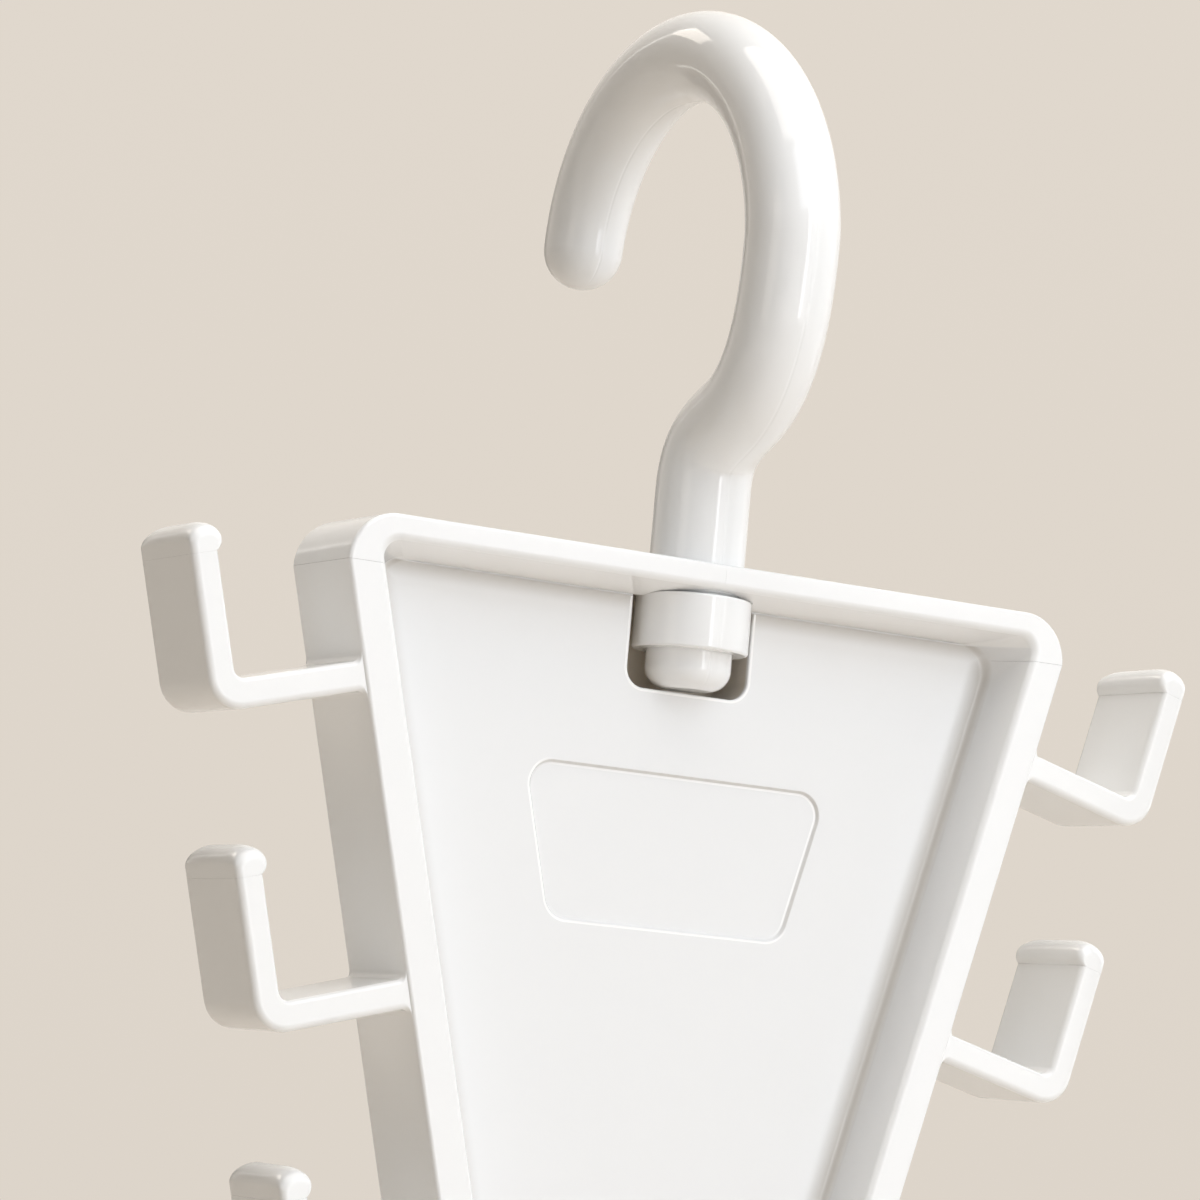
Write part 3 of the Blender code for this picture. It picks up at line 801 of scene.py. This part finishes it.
def edge_highlight_and_shade_at(size, place):
    """Painted highlight and shade: 1 on the painted highlight lines beside label and window, below
    0 on the label's painted shade edge.
    """
    down = place.y - panel_faces(size)[0]
    drop = RAIL_TOP - place.z
    line, step = size.painted_highlight_line + 0.1 * MM, LINE_STEP
    if down < step / 2:
        return 0.0
    outer = size.label_edge + line
    if size.label_top - outer < drop < size.label_top + size.label_height + outer:
        middle = drop - size.label_top - size.label_height / 2
        away = place.x / size.label_half_width - middle / (size.label_height / 2)
        if abs(place.x) > size.label_half_width * 1.4:
            return 0.0
        upper = min(1.0, max(0.0, 0.5 + away * 4))
        if down < 2.5 * step:
            return 1.0 - upper
        if abs(down - size.label_depth) < 1.5 * step:
            return upper
        return -upper if down < size.label_depth else 0.0
    outer = size.window_rim + line
    if abs(place.x) < size.window_half_width + outer and drop < size.window_bottom + outer:
        return 1.0 if down < 2.5 * step else 0.0
    return 0.0


# Rod hook


def rod_path(size):
    """Points of the hook's centre line with the rod's radius at each, tip to nose."""
    crown_steps, neck_steps, cap_steps = 110, 44, 12
    tip_angle, lean = math.radians(10.0), math.radians(28.0)
    line = []
    for i in range(crown_steps + 1):
        share = i / crown_steps
        angle = tip_angle + (math.pi - tip_angle) * share
        reach = size.crown_radius + size.crown_lean * math.sin(2 * angle)
        across = size.crown_offset + reach * math.cos(angle)
        radius = size.tip_rod + (size.crown_rod - size.tip_rod) * min(1.0, 2 * share)
        line.append((Vector((across, size.crown_height + reach * math.sin(angle))), radius))
    slope = Vector((math.cos(lean), -math.sin(lean)))
    start, middle, foot = line[-1][0], Vector((-9.6, 22.6)) * MM, Vector((0.0, 11.5)) * MM
    pulls = [pull * MM for pull in (10.0, 9.0, 5.5, 7.5)]
    upper = (start, start - Vector((0.0, pulls[0])), middle - slope * pulls[1], middle)
    lower = (middle, middle + slope * pulls[2], foot + Vector((0.0, pulls[3])), foot)
    for curve, first, last in (
        (upper, size.crown_rod, size.neck_rod),
        (lower, size.neck_rod, size.shank_rod),
    ):
        for i in range(1, neck_steps + 1):
            share = i / neck_steps
            rest = 1 - share
            point = curve[0] * rest**3 + curve[1] * 3 * rest**2 * share
            point = point + curve[2] * 3 * rest * share**2 + curve[3] * share**3
            line.append((point, first + (last - first) * share))
    tip, radius = line[0][0], size.tip_rod
    out = (tip - line[1][0]).normalized()
    cap = []
    for i in range(cap_steps):
        angle = math.pi / 2 * (i + 0.25) / cap_steps
        cap.append((tip + out * radius * math.cos(angle), radius * math.sin(angle)))
    shoulder, step = COLLAR_HIGH.z - RAIL_TOP + SHOULDER_GAP, 0.25 * MM
    down = [
        (0.0, size.shank_rod),
        (shoulder + step, size.shank_rod),
        (shoulder, size.nose_rod),
        (COLLAR_LOW.z - RAIL_TOP + step, size.nose_rod),
    ]
    rounding = size.nose_rounding
    bend, core = ROD_LOW.z - RAIL_TOP + rounding, size.nose_rod - rounding
    for i in range(cap_steps + 1):
        angle = math.pi / 2 * i / cap_steps
        down.append((bend - rounding * math.sin(angle), core + rounding * math.cos(angle)))
    return cap + line + [(Vector((0.0, height)), radius) for height, radius in down]


def geometry_tree(name, count, numbers):
    """Geometry nodes that take a geometry, a count and some numbers, and these inputs."""
    tree = bpy.data.node_groups.new(name, "GeometryNodeTree")
    inputs = [("Geometry", "Geometry"), (count, "Int")] + [(label, "Float") for label in numbers]
    for label, kind in inputs:
        tree.interface.new_socket(label, in_out="INPUT", socket_type="NodeSocket" + kind)
    tree.interface.new_socket("Geometry", in_out="OUTPUT", socket_type="NodeSocketGeometry")
    nodes = Nodes(tree)
    return nodes, nodes.add("NodeGroupInput").siblings()


def close_tree(nodes, geometry, material):
    """End a tree in plain geometry with its material."""
    real = nodes.add("GeometryNodeRealizeInstances", {}, {"Geometry": geometry})
    inputs = {"Geometry": real, "Material": material}
    shown = nodes.add("GeometryNodeSetMaterial", {}, inputs)
    nodes.add("NodeGroupOutput", {}, {"Geometry": shown})
    return nodes.tree


def rod_tree(material):
    """Geometry nodes: a rod along a path, with a fine parting line in its middle plane."""
    numbers = ("Line width share", "Line depth share", "Crowding")
    nodes, taken = geometry_tree("rod_along_path", "Sides", numbers)
    inputs = {"Resolution": taken["Sides"], "Radius": 1.0}
    circle = nodes.add("GeometryNodeCurvePrimitiveCircle", {"mode": "RADIUS"}, inputs)
    even = nodes.add("GeometryNodeInputIndex") * math.tau / taken["Sides"]
    angle = even + taken["Crowding"] * (even * 2.0).of("SINE")
    side = angle.of("COSINE")
    near = (1.0 - side.of("ABSOLUTE") / taken["Line width share"]).of("MAXIMUM", 0.0)
    reach = 1.0 - near * near * (3.0 - 2.0 * near) * taken["Line depth share"]
    spot = nodes.point(side * reach, angle.of("SINE") * reach, 0.0)
    profile = nodes.add("GeometryNodeSetPosition", {}, {"Geometry": circle, "Position": spot})
    curve = nodes.add("GeometryNodeMeshToCurve", {}, {"Mesh": taken["Geometry"]})
    inputs = {"Curve": curve, "Normal": (1.0, 0.0, 0.0)}
    across = nodes.add("GeometryNodeSetCurveNormal", {"mode": "FREE"}, inputs)
    kind, inputs = {"data_type": "FLOAT"}, {"Name": "rod_radius"}
    radius = nodes.add("GeometryNodeInputNamedAttribute", kind, inputs)
    inputs = {"Curve": across, "Profile Curve": profile, "Scale": radius, "Fill Caps": True}
    return close_tree(nodes, nodes.add("GeometryNodeCurveToMesh", {}, inputs), material)


def run_tree(obj, tree, values):
    """Put a geometry nodes tree on an object, set its named inputs and apply it."""
    modifier = obj.modifiers.new(tree.name, "NODES")
    modifier.node_group = tree
    for item in tree.interface.items_tree:
        if item.in_out == "INPUT" and item.name in values:
            modifier[item.identifier] = values[item.name]
    obj.update_tag()
    return settle(obj)


def build_rod_hook():
    """Hook, neck, shank and nose as one rod."""
    size = bpy.context.scene.hanger_rod
    line = rod_path(size)
    mesh = bpy.data.meshes.new("rod_hook_shell")
    points = [(0.0, SHANK_Y + point.x, RAIL_TOP + point.y) for point, radius in line]
    mesh.from_pydata(points, [(i, i + 1) for i in range(len(points) - 1)], [])
    radii = mesh.attributes.new("rod_radius", "FLOAT", "POINT")
    for i, (point, radius) in enumerate(line):
        radii.data[i].value = radius
    obj = linked("rod_hook_shell", mesh)
    values = {
        "Sides": size.sides,
        "Line width share": size.line_width / size.crown_rod,
        "Line depth share": size.line_depth / size.crown_rod,
        "Crowding": CROWDING,
    }
    run_tree(obj, rod_tree(finish_of("rod_hook_gloss")), values)
    return smooth(obj, turn_out=True)


def build_collar():
    """Retaining collar: a plain ring with rounded edges and the same parting line."""
    size = bpy.context.scene.hanger_rod
    outer, bore, rounding = COLLAR_HIGH.x, size.nose_rod + COLLAR_GAP, COLLAR_ROUNDING
    top, bottom = COLLAR_HIGH.z, COLLAR_LOW.z
    quarter, bevel = roll(rounding, ROLL_STEPS), rounding / 3
    profile = [(outer - inset, top - drop) for inset, drop in quarter]
    profile += [(outer - inset, bottom + drop) for inset, drop in reversed(quarter)]
    profile += [(bore + bevel, bottom), (bore, bottom + bevel)]
    profile += [(bore, top - bevel), (bore + bevel, top)]
    ring = turned("collar_shell", profile, size.sides, True, size.line_width, size.line_depth)
    return smooth(ring)


# Side hooks


BEAD_TUCK = math.radians(56.0)


def side_hook_outline(size, outer, inner):
    """L outline with its root at X = 0 and its arm's top at Z = 0, moved in at its edges."""
    quarter, leg_inner = math.pi / 2, size.reach - size.leg
    flare, tight, wide = size.flare, size.inner_radius, size.outer_radius
    points = [(-size.root_lap, flare)]
    points += arc((flare, flare), flare, math.pi, 3 * quarter, ROLL_STEPS, flare + inner)
    points += arc((leg_inner - tight, tight), tight + inner, -quarter, 0.0, CORNER_STEPS)
    points += [(leg_inner + inner, size.leg_height), (size.reach - outer, size.leg_height)]
    elbow = (size.reach - wide, wide - size.arm)
    points += arc(elbow, wide - outer, 0.0, -quarter, CORNER_STEPS)
    under = (flare, -size.arm - flare)
    points += arc(under, flare, quarter, math.pi, ROLL_STEPS, flare + outer)
    return points + [(-size.root_lap, -size.arm - flare)]


def bead_outline(size, share):
    """Bead above the leg's seam: its outer side runs on from the leg's, its inner side bulges."""
    inset = size.outer_rounding * share
    seam = size.leg_height + size.tip_gap
    shoulder = size.leg_height + size.bead_shoulder
    middle = size.leg_height + size.bead_rise
    top = size.leg_height + size.bead_top - inset
    top_x = size.reach - size.bead_outer
    outer, inner, quarter = size.bead_outer - inset, size.bead_inner - inset, math.pi / 2
    points = [(size.reach - inset, seam)]
    points += arc((top_x, shoulder), outer, 0.0, quarter, CORNER_STEPS, top - shoulder)
    points += arc((top_x, middle), inner, quarter, 2 * quarter, CORNER_STEPS, top - middle)[1:]
    side = top_x - inner
    foot = size.reach - size.leg + size.inner_rounding * share
    for i in range(1, CORNER_STEPS + 1):
        angle = BEAD_TUCK * i / CORNER_STEPS
        across = (1 - math.cos(angle)) / (1 - math.cos(BEAD_TUCK))
        down = math.sin(angle) / math.sin(BEAD_TUCK)
        points.append((side + (foot - side) * across, middle + (seam - middle) * down))
    return points


def bead_near_end(size, share, inward):
    """Bead's outline at a distance from its end, where its top comes down in a round."""
    seam = size.leg_height + size.tip_gap
    away = max(1.0 - inward / size.end_length, 0.0)
    height = 1.0 - size.end_drop * (1.0 - math.sqrt(1.0 - away * away)) / size.bead_top
    return [(x, seam + (z - seam) * height) for x, z in bead_outline(size, share)]


def row_tree(material):
    """Geometry nodes: copies of a piece down both side rails."""
    numbers = ("First", "Spacing", "Half width", "Seam height", "Middle depth", "Taper")
    nodes, taken = geometry_tree("rows_on_rails", "Hooks per side", numbers)
    first, spacing, taper = taken["First"], taken["Spacing"], taken["Taper"]
    lean, drop = taper.of("SINE"), taper.of("COSINE")
    rows = nodes.add("GeometryNodeJoinGeometry")
    for sign, turn in ((1.0, 0.0), (-1.0, math.pi)):
        x = (taken["Half width"] - first * lean) * sign
        start = nodes.point(x, taken["Middle depth"], taken["Seam height"] - first * drop)
        step = nodes.point(spacing * lean * -sign, 0.0, spacing * drop * -1.0)
        inputs = {"Count": taken["Hooks per side"], "Start Location": start, "Offset": step}
        points = nodes.add("GeometryNodeMeshLine", {"mode": "OFFSET"}, inputs)
        facing = nodes.point(0.0, taper, turn)
        inputs = {"Points": points, "Instance": taken["Geometry"], "Rotation": facing}
        row = nodes.add("GeometryNodeInstanceOnPoints", {}, inputs)
        nodes.feed(rows.socket.node, [row])
    return close_tree(nodes, rows, material)


def in_rows(name, end):
    """Piece from the outlines of one end and their depths from it, copied down both rails."""
    size = bpy.context.scene.hanger_side
    half_depth = (BACK - FRONT) / 2 - size.setback
    front = [(outline, depth - half_depth) for outline, depth in end]
    piece = loft(name, front + [(outline, -depth) for outline, depth in reversed(front)])
    smooth(piece)
    side = (TOP_SEAM - BOTTOM_SEAM) / math.cos(TAPER)
    values = {
        "Hooks per side": size.count,
        "First": size.first,
        "Spacing": (side - size.first - size.last) / max(1, size.count - 1),
        "Half width": HALF_WIDTH,
        "Seam height": TOP_SEAM,
        "Middle depth": (FRONT + BACK) / 2,
        "Taper": TAPER,
    }
    return run_tree(piece, row_tree(finish_of("side_hook_gloss")), values)


def rounded_end(size):
    """(share of the rounding, depth) pairs of an end's rounded edge."""
    rounding = size.outer_rounding
    return [(inset / rounding, drop) for inset, drop in roll(rounding, ROLL_STEPS)]


def build_side_hooks():
    """The L-shaped hooks of both rails."""
    size = bpy.context.scene.hanger_side
    outer, inner = size.outer_rounding, size.inner_rounding
    end = [(side_hook_outline(size, outer * s, inner * s), depth) for s, depth in rounded_end(size)]
    return in_rows("side_hook_shells", end)


def build_tips():
    """The beads on the legs' ends."""
    size = bpy.context.scene.hanger_side
    rounding, rest = size.outer_rounding, size.end_length - size.outer_rounding
    inward = [(0.0, rounding + rest * i / END_STEPS) for i in range(1, END_STEPS + 1)]
    inward = rounded_end(size) + inward
    end = [(bead_near_end(size, s, depth), depth) for s, depth in inward]
    return in_rows("tip_bead_shells", end)


# Stage


class StageSettings(bpy.types.PropertyGroup):
    """Camera and lights."""

    lens: number("Lens", 132.0, "Focal length on a 36 mm sensor, in millimetres")
    turn: degrees("Turn", 28.94, "Camera's turn to the hanger's left")
    rise: degrees("Rise", 6.36, "Upward tilt of the view")
    roll: degrees("Roll", 5.08, "Roll of the camera")
    distance: length("Distance", 638.6, "From the camera to the top rail's front edge")
    right: length("Right", 18.48, "How far the aim lies to the right of the picture's middle")
    down: length("Down", 5.148, "How far the aim lies above the picture's middle")
    key_power: number("Key", 5.15, "Power of the front light in watts")
    upper_power: number("Upper", 4.5, "Power of the raised front light in watts")
    low_power: number("Low", 0.6, "Power of the low front light in watts")
    glint_power: number("Glint", 1.8, "Power of the narrow front light in watts")
    right_power: number("Right side", 1.9, "Power of the right light in watts")
    top_power: number("Top", 9.0, "Power of the top light in watts")
    strip_power: number("Strip", 0.22, "Power of the narrow rear light in watts")
    rear_power: number("Rear", 1.1, "Power of the wide rear light in watts")
    back_power: number("Back", 1.5, "Power of the soft light behind in watts")
    ambient: number("Ambient", 0.14, "Strength of the light all round")
    side_glow: number("Side glow", 1.7, "Strength of the glow from the right rear")


# Windows in the world: azimuth, elevation, half width, half height in degrees, and strength
WINDOWS = ((-153.0, 36.0, 6.0, 7.0, 3.2), (-72.0, 0.0, 11.0, 28.0, 1.6))
GLOW_WAY = Vector((0.95, 0.4, 0.1))
GLOW_TINT = (1.0, 0.94, 0.85, 1.0)
HORIZON_SHADE = 0.955
FLOOR_SHADE = 0.97
FLOOR_RADIUS = 2.2
FLOOR_DROP = 60.0 * MM


def place_camera(stage):
    """Camera at the viewing angle of the picture."""
    turn, level, lean = stage.turn, math.cos(stage.rise), stage.roll
    view = Vector((math.sin(turn) * level, math.cos(turn) * level, math.sin(stage.rise)))
    right = Vector((math.cos(turn), -math.sin(turn), 0.0))
    up = right.cross(view)
    across = math.cos(lean) * right + math.sin(lean) * up
    upward = -math.sin(lean) * right + math.cos(lean) * up
    aim = Vector((0.0, FRONT, RAIL_TOP))
    eye = aim - stage.distance * view - stage.right * across - stage.down * upward
    data = bpy.data.cameras.new("camera")
    data.lens = stage.lens
    data.sensor_width = 36.0
    data.clip_start = 0.01
    data.clip_end = 50.0
    camera = linked("camera", data)
    axes = Matrix((across, upward, -view)).transposed().to_4x4()
    camera.matrix_world = Matrix.Translation(eye) @ axes
    bpy.context.scene.camera = camera


def soft_light(name, direction, distance, width, height, power, tint):
    """Rectangular lamp that faces the hanger."""
    data = bpy.data.lights.new(name, "AREA")
    data.shape = "RECTANGLE"
    data.size = width
    data.size_y = height
    data.energy = power
    data.color = tint
    lamp = linked(name, data)
    way = Vector(direction).normalized()
    lamp.location = Vector((0.0, SHANK_Y, RAIL_TOP)) + way * distance
    lamp.rotation_euler = (-way).to_track_quat("-Z", "Y").to_euler()
    lamp.visible_camera = False
    lamp.visible_glossy = name not in ("rear_light", "back_light")


def rays_that_see(ray):
    """1 for the rays that see the plain backdrop colour: camera, glossy and transmission."""
    seen = ray["Is Camera Ray"] + ray["Is Glossy Ray"] + ray["Is Transmission Ray"]
    return seen.of("MINIMUM", 1.0)


def soft_window(nodes, way, azimuth, elevation, half_width, half_height):
    """1 inside an upright rectangle of the world, in degrees from the front, soft at its edge."""
    turn, level = math.radians(azimuth), math.cos(math.radians(elevation))
    up = math.sin(math.radians(elevation))
    ahead = (math.sin(turn) * level, -math.cos(turn) * level, up)
    across = (math.cos(turn), math.sin(turn), 0.0)
    upward = tuple(Vector(across).cross(Vector(ahead)) * -1.0)
    axes = (ahead, across, upward)
    depth, side, height = [nodes.vector("DOT_PRODUCT", way, axis) for axis in axes]
    inside = depth.of("GREATER_THAN", 0.0)
    for reach, half in ((side, half_width), (height, half_height)):
        limit = math.tan(math.radians(half))
        inside = inside * (1.0 - ramp_up((reach / depth).of("ABSOLUTE"), limit * 0.85, limit))
    return inside


def make_world(look, stage):
    """Soft light all round with a glow from the right rear, and the plain backdrop colour.

    Glossy rays see a dimmer room in front, on the left and close behind, and two soft windows.
    """
    world = bpy.data.worlds.new("studio")
    world.use_nodes = True
    world.node_tree.nodes.clear()
    nodes = Nodes(world.node_tree)
    way = nodes.add("ShaderNodeTexCoord", output="Generated")
    across, behind, height = nodes.parts(way)
    glow = nodes.vector("DOT_PRODUCT", way, tuple(GLOW_WAY.normalized()))
    glow = glow.of("MAXIMUM", 0.0).of("POWER", 8.0) * stage.side_glow + stage.ambient
    inputs = {"Color": GLOW_TINT, "Strength": glow}
    ambient = nodes.add("ShaderNodeBackground", {}, inputs)
    share = (height * 2.6 + 0.35).of("MINIMUM", 1.0).of("MAXIMUM", 0.0)
    wall = blend(nodes, share, times(look.wall, HORIZON_SHADE), look.wall)
    lift = ramp_up(height, 0.27, 0.4) * 0.4 + 1.0
    room = ramp_up(behind, -0.1, 0.05) * 0.7 + 0.3
    room = room * (1.0 - ramp_up(across * -1.0, 0.55, 0.8) * 0.6)
    room = room * (1.0 - ramp_up(behind, 0.95, 0.975) * 0.6)
    first, second = [soft_window(nodes, way, *place) * power for *place, power in WINDOWS]
    ray = nodes.add("ShaderNodeLightPath").siblings()
    seen = (room + (first + second) * ray["Is Glossy Ray"]).of("MAXIMUM", ray["Is Camera Ray"])
    backdrop = nodes.add("ShaderNodeBackground", {}, {"Color": wall, "Strength": lift * seen})
    both = nodes.add("ShaderNodeMixShader", {}, [rays_that_see(ray), ambient, backdrop])
    nodes.add("ShaderNodeOutputWorld", {}, {"Surface": both})
    bpy.context.scene.world = world


def make_floor(look):
    """Pale round floor below the hanger; it keeps shadows and fades into the backdrop."""
    bm = bmesh.new()
    bmesh.ops.create_circle(bm, cap_ends=True, segments=96, radius=FLOOR_RADIUS)
    floor = as_object("floor", bm)
    floor.data.transform(Matrix.Translation((0.0, 0.0, FOOT_LOW.z - FLOOR_DROP)))
    material, nodes, shader, place = new_material("floor_paint")
    tone = blend(nodes, nodes.noise(place, 6.0, 4.0), look.floor, times(look.floor, FLOOR_SHADE))
    nodes.feed(shader, {"Base Color": tone, "Roughness": 0.7})
    inputs = {"Color": (*times(look.wall, FLOOR_SHADE), 1.0), "Strength": 1.0}
    plain = nodes.add("ShaderNodeEmission", {}, inputs)
    ray = nodes.add("ShaderNodeLightPath").siblings()
    fade = ramp_up(nodes.vector("LENGTH", place), 0.35, 1.0) * rays_that_see(ray)
    painted = Value(nodes, shader.outputs["BSDF"])
    both = nodes.add("ShaderNodeMixShader", {}, [fade, painted, plain])
    nodes.feed(material.node_tree.nodes["Material Output"], {"Surface": both})
    floor.data.materials.append(material)


def build_stage():
    """Camera, lights, world and floor."""
    scene = bpy.context.scene
    stage, look = scene.hanger_stage, scene.hanger_finish
    scene.view_settings.view_transform = "Standard"
    place_camera(stage)
    white, warm = (0.965, 0.99, 1.025), (1.0, 0.97, 0.93)
    # Direction, distance, width, height, power and tint of each lamp
    for name, *values in (
        ("key_light", (0.376, -0.926, 0.12), 1.2, 0.69, 1.39, stage.key_power, white),
        ("upper_light", (0.15, -0.75, 0.75), 1.2, 1.0, 0.6, stage.upper_power, (0.94, 1.0, 1.07)),
        ("low_light", (-0.1, -1.0, -0.1), 1.0, 0.9, 0.3, stage.low_power, white),
        ("glint_light", (0.174, -0.985, 0.1), 1.2, 0.13, 1.2, stage.glint_power, white),
        ("right_light", (0.97, -0.22, 0.1), 1.2, 0.9, 1.2, stage.right_power, white),
        ("top_light", (-0.04, -0.16, 1.0), 1.2, 1.0, 1.0, stage.top_power, (1.0, 0.96, 0.91)),
        ("strip_light", (-0.324, 0.87, 0.372), 1.3, 0.04, 1.1, stage.strip_power, warm),
        ("rear_light", (-0.6, 0.8, 0.35), 1.2, 0.6, 1.0, stage.rear_power, (1.0, 0.9, 0.75)),
        ("back_light", (0.2, 1.0, 0.3), 1.2, 1.0, 1.0, stage.back_power, warm),
    ):
        soft_light(name, *values)
    make_world(look, stage)
    make_floor(look)


# Operators


def hook_nodes(kind):
    """Names of the packed side hooks or tips."""
    return ["%s_%s_%d" % (side, kind, i) for side in ("left", "right") for i in (1, 2, 3, 4)]


class HANGER_OT_rod_hook(bpy.types.Operator):
    """Add the swivelling rod hook."""

    bl_idname = "hanger.rod_hook"
    bl_label = "Rod hook"

    def execute(self, context):
        dress(build_rod_hook(), "rod_hook_gloss", ROD_BODY, "hook_plastic", "swivel_hook")
        return {"FINISHED"}


class HANGER_OT_collar(bpy.types.Operator):
    """Add the retaining collar."""

    bl_idname = "hanger.collar"
    bl_label = "Retaining collar"

    def execute(self, context):
        dress(build_collar(), "rod_hook_gloss", ROD_BODY, "hook_plastic", "retaining_collar")
        return {"FINISHED"}


class HANGER_OT_rails(bpy.types.Operator):
    """Add the top and bottom rails."""

    bl_idname = "hanger.rails"
    bl_label = "Top and bottom rails"

    def execute(self, context):
        dress(build_top_rail(), "body_gloss", HANGER_BODY, "body_plastic", "top_rail")
        dress(build_bottom_rail(), "body_gloss", HANGER_BODY, "body_plastic", "bottom_rail")
        return {"FINISHED"}


class HANGER_OT_tray(bpy.types.Operator):
    """Add the side rails and the panel."""

    bl_idname = "hanger.tray"
    bl_label = "Tray"

    def execute(self, context):
        dress(build_tray(), "body_gloss", HANGER_BODY, "body_plastic", "tray")
        return {"FINISHED"}


class HANGER_OT_side_hooks(bpy.types.Operator):
    """Add the side hooks and their tip beads."""

    bl_idname = "hanger.side_hooks"
    bl_label = "Side hooks"

    def execute(self, context):
        slot = "side_hook_plastic"
        dress(build_side_hooks(), "side_hook_gloss", HANGER_BODY, slot, *hook_nodes("hook"))
        dress(build_tips(), "side_hook_gloss", HANGER_BODY, slot, *hook_nodes("tip"))
        return {"FINISHED"}


class HANGER_OT_stage(bpy.types.Operator):
    """Add the camera, lights, backdrop colour and floor."""

    bl_idname = "hanger.stage"
    bl_label = "Stage"

    def execute(self, context):
        build_stage()
        return {"FINISHED"}


class HANGER_PT_panel(bpy.types.Panel):
    """Lists the hanger's pieces."""

    bl_idname = "HANGER_PT_panel"
    bl_label = "Hanger"
    bl_space_type = "VIEW_3D"
    bl_region_type = "UI"
    bl_category = "Hanger"

    def draw(self, context):
        for operator in OPERATORS:
            self.layout.operator(operator.bl_idname)
        for owner, group in GROUPS.items():
            box = self.layout.box()
            box.label(text=group.__doc__)
            for name in group.__annotations__:
                box.prop(getattr(context.scene, owner), name)


GROUPS = {
    "hanger_body": HangerBodySettings,
    "hanger_rod": RodHookSettings,
    "hanger_side": SideHookSettings,
    "hanger_finish": FinishSettings,
    "hanger_stage": StageSettings,
}
OPERATORS = (
    HANGER_OT_stage,
    HANGER_OT_rod_hook,
    HANGER_OT_collar,
    HANGER_OT_rails,
    HANGER_OT_tray,
    HANGER_OT_side_hooks,
)


def register():
    for owner, group in GROUPS.items():
        bpy.utils.register_class(group)
        setattr(bpy.types.Scene, owner, PointerProperty(type=group))
    for operator in OPERATORS:
        bpy.utils.register_class(operator)
    bpy.utils.register_class(HANGER_PT_panel)


def unregister():
    bpy.utils.unregister_class(HANGER_PT_panel)
    for operator in reversed(OPERATORS):
        bpy.utils.unregister_class(operator)
    for owner, group in GROUPS.items():
        delattr(bpy.types.Scene, owner)
        bpy.utils.unregister_class(group)


def main():
    register()
    bpy.ops.hanger.stage()
    bpy.ops.hanger.rod_hook()
    bpy.ops.hanger.collar()
    bpy.ops.hanger.rails()
    bpy.ops.hanger.tray()
    bpy.ops.hanger.side_hooks()


if __name__ == "__main__":
    main()
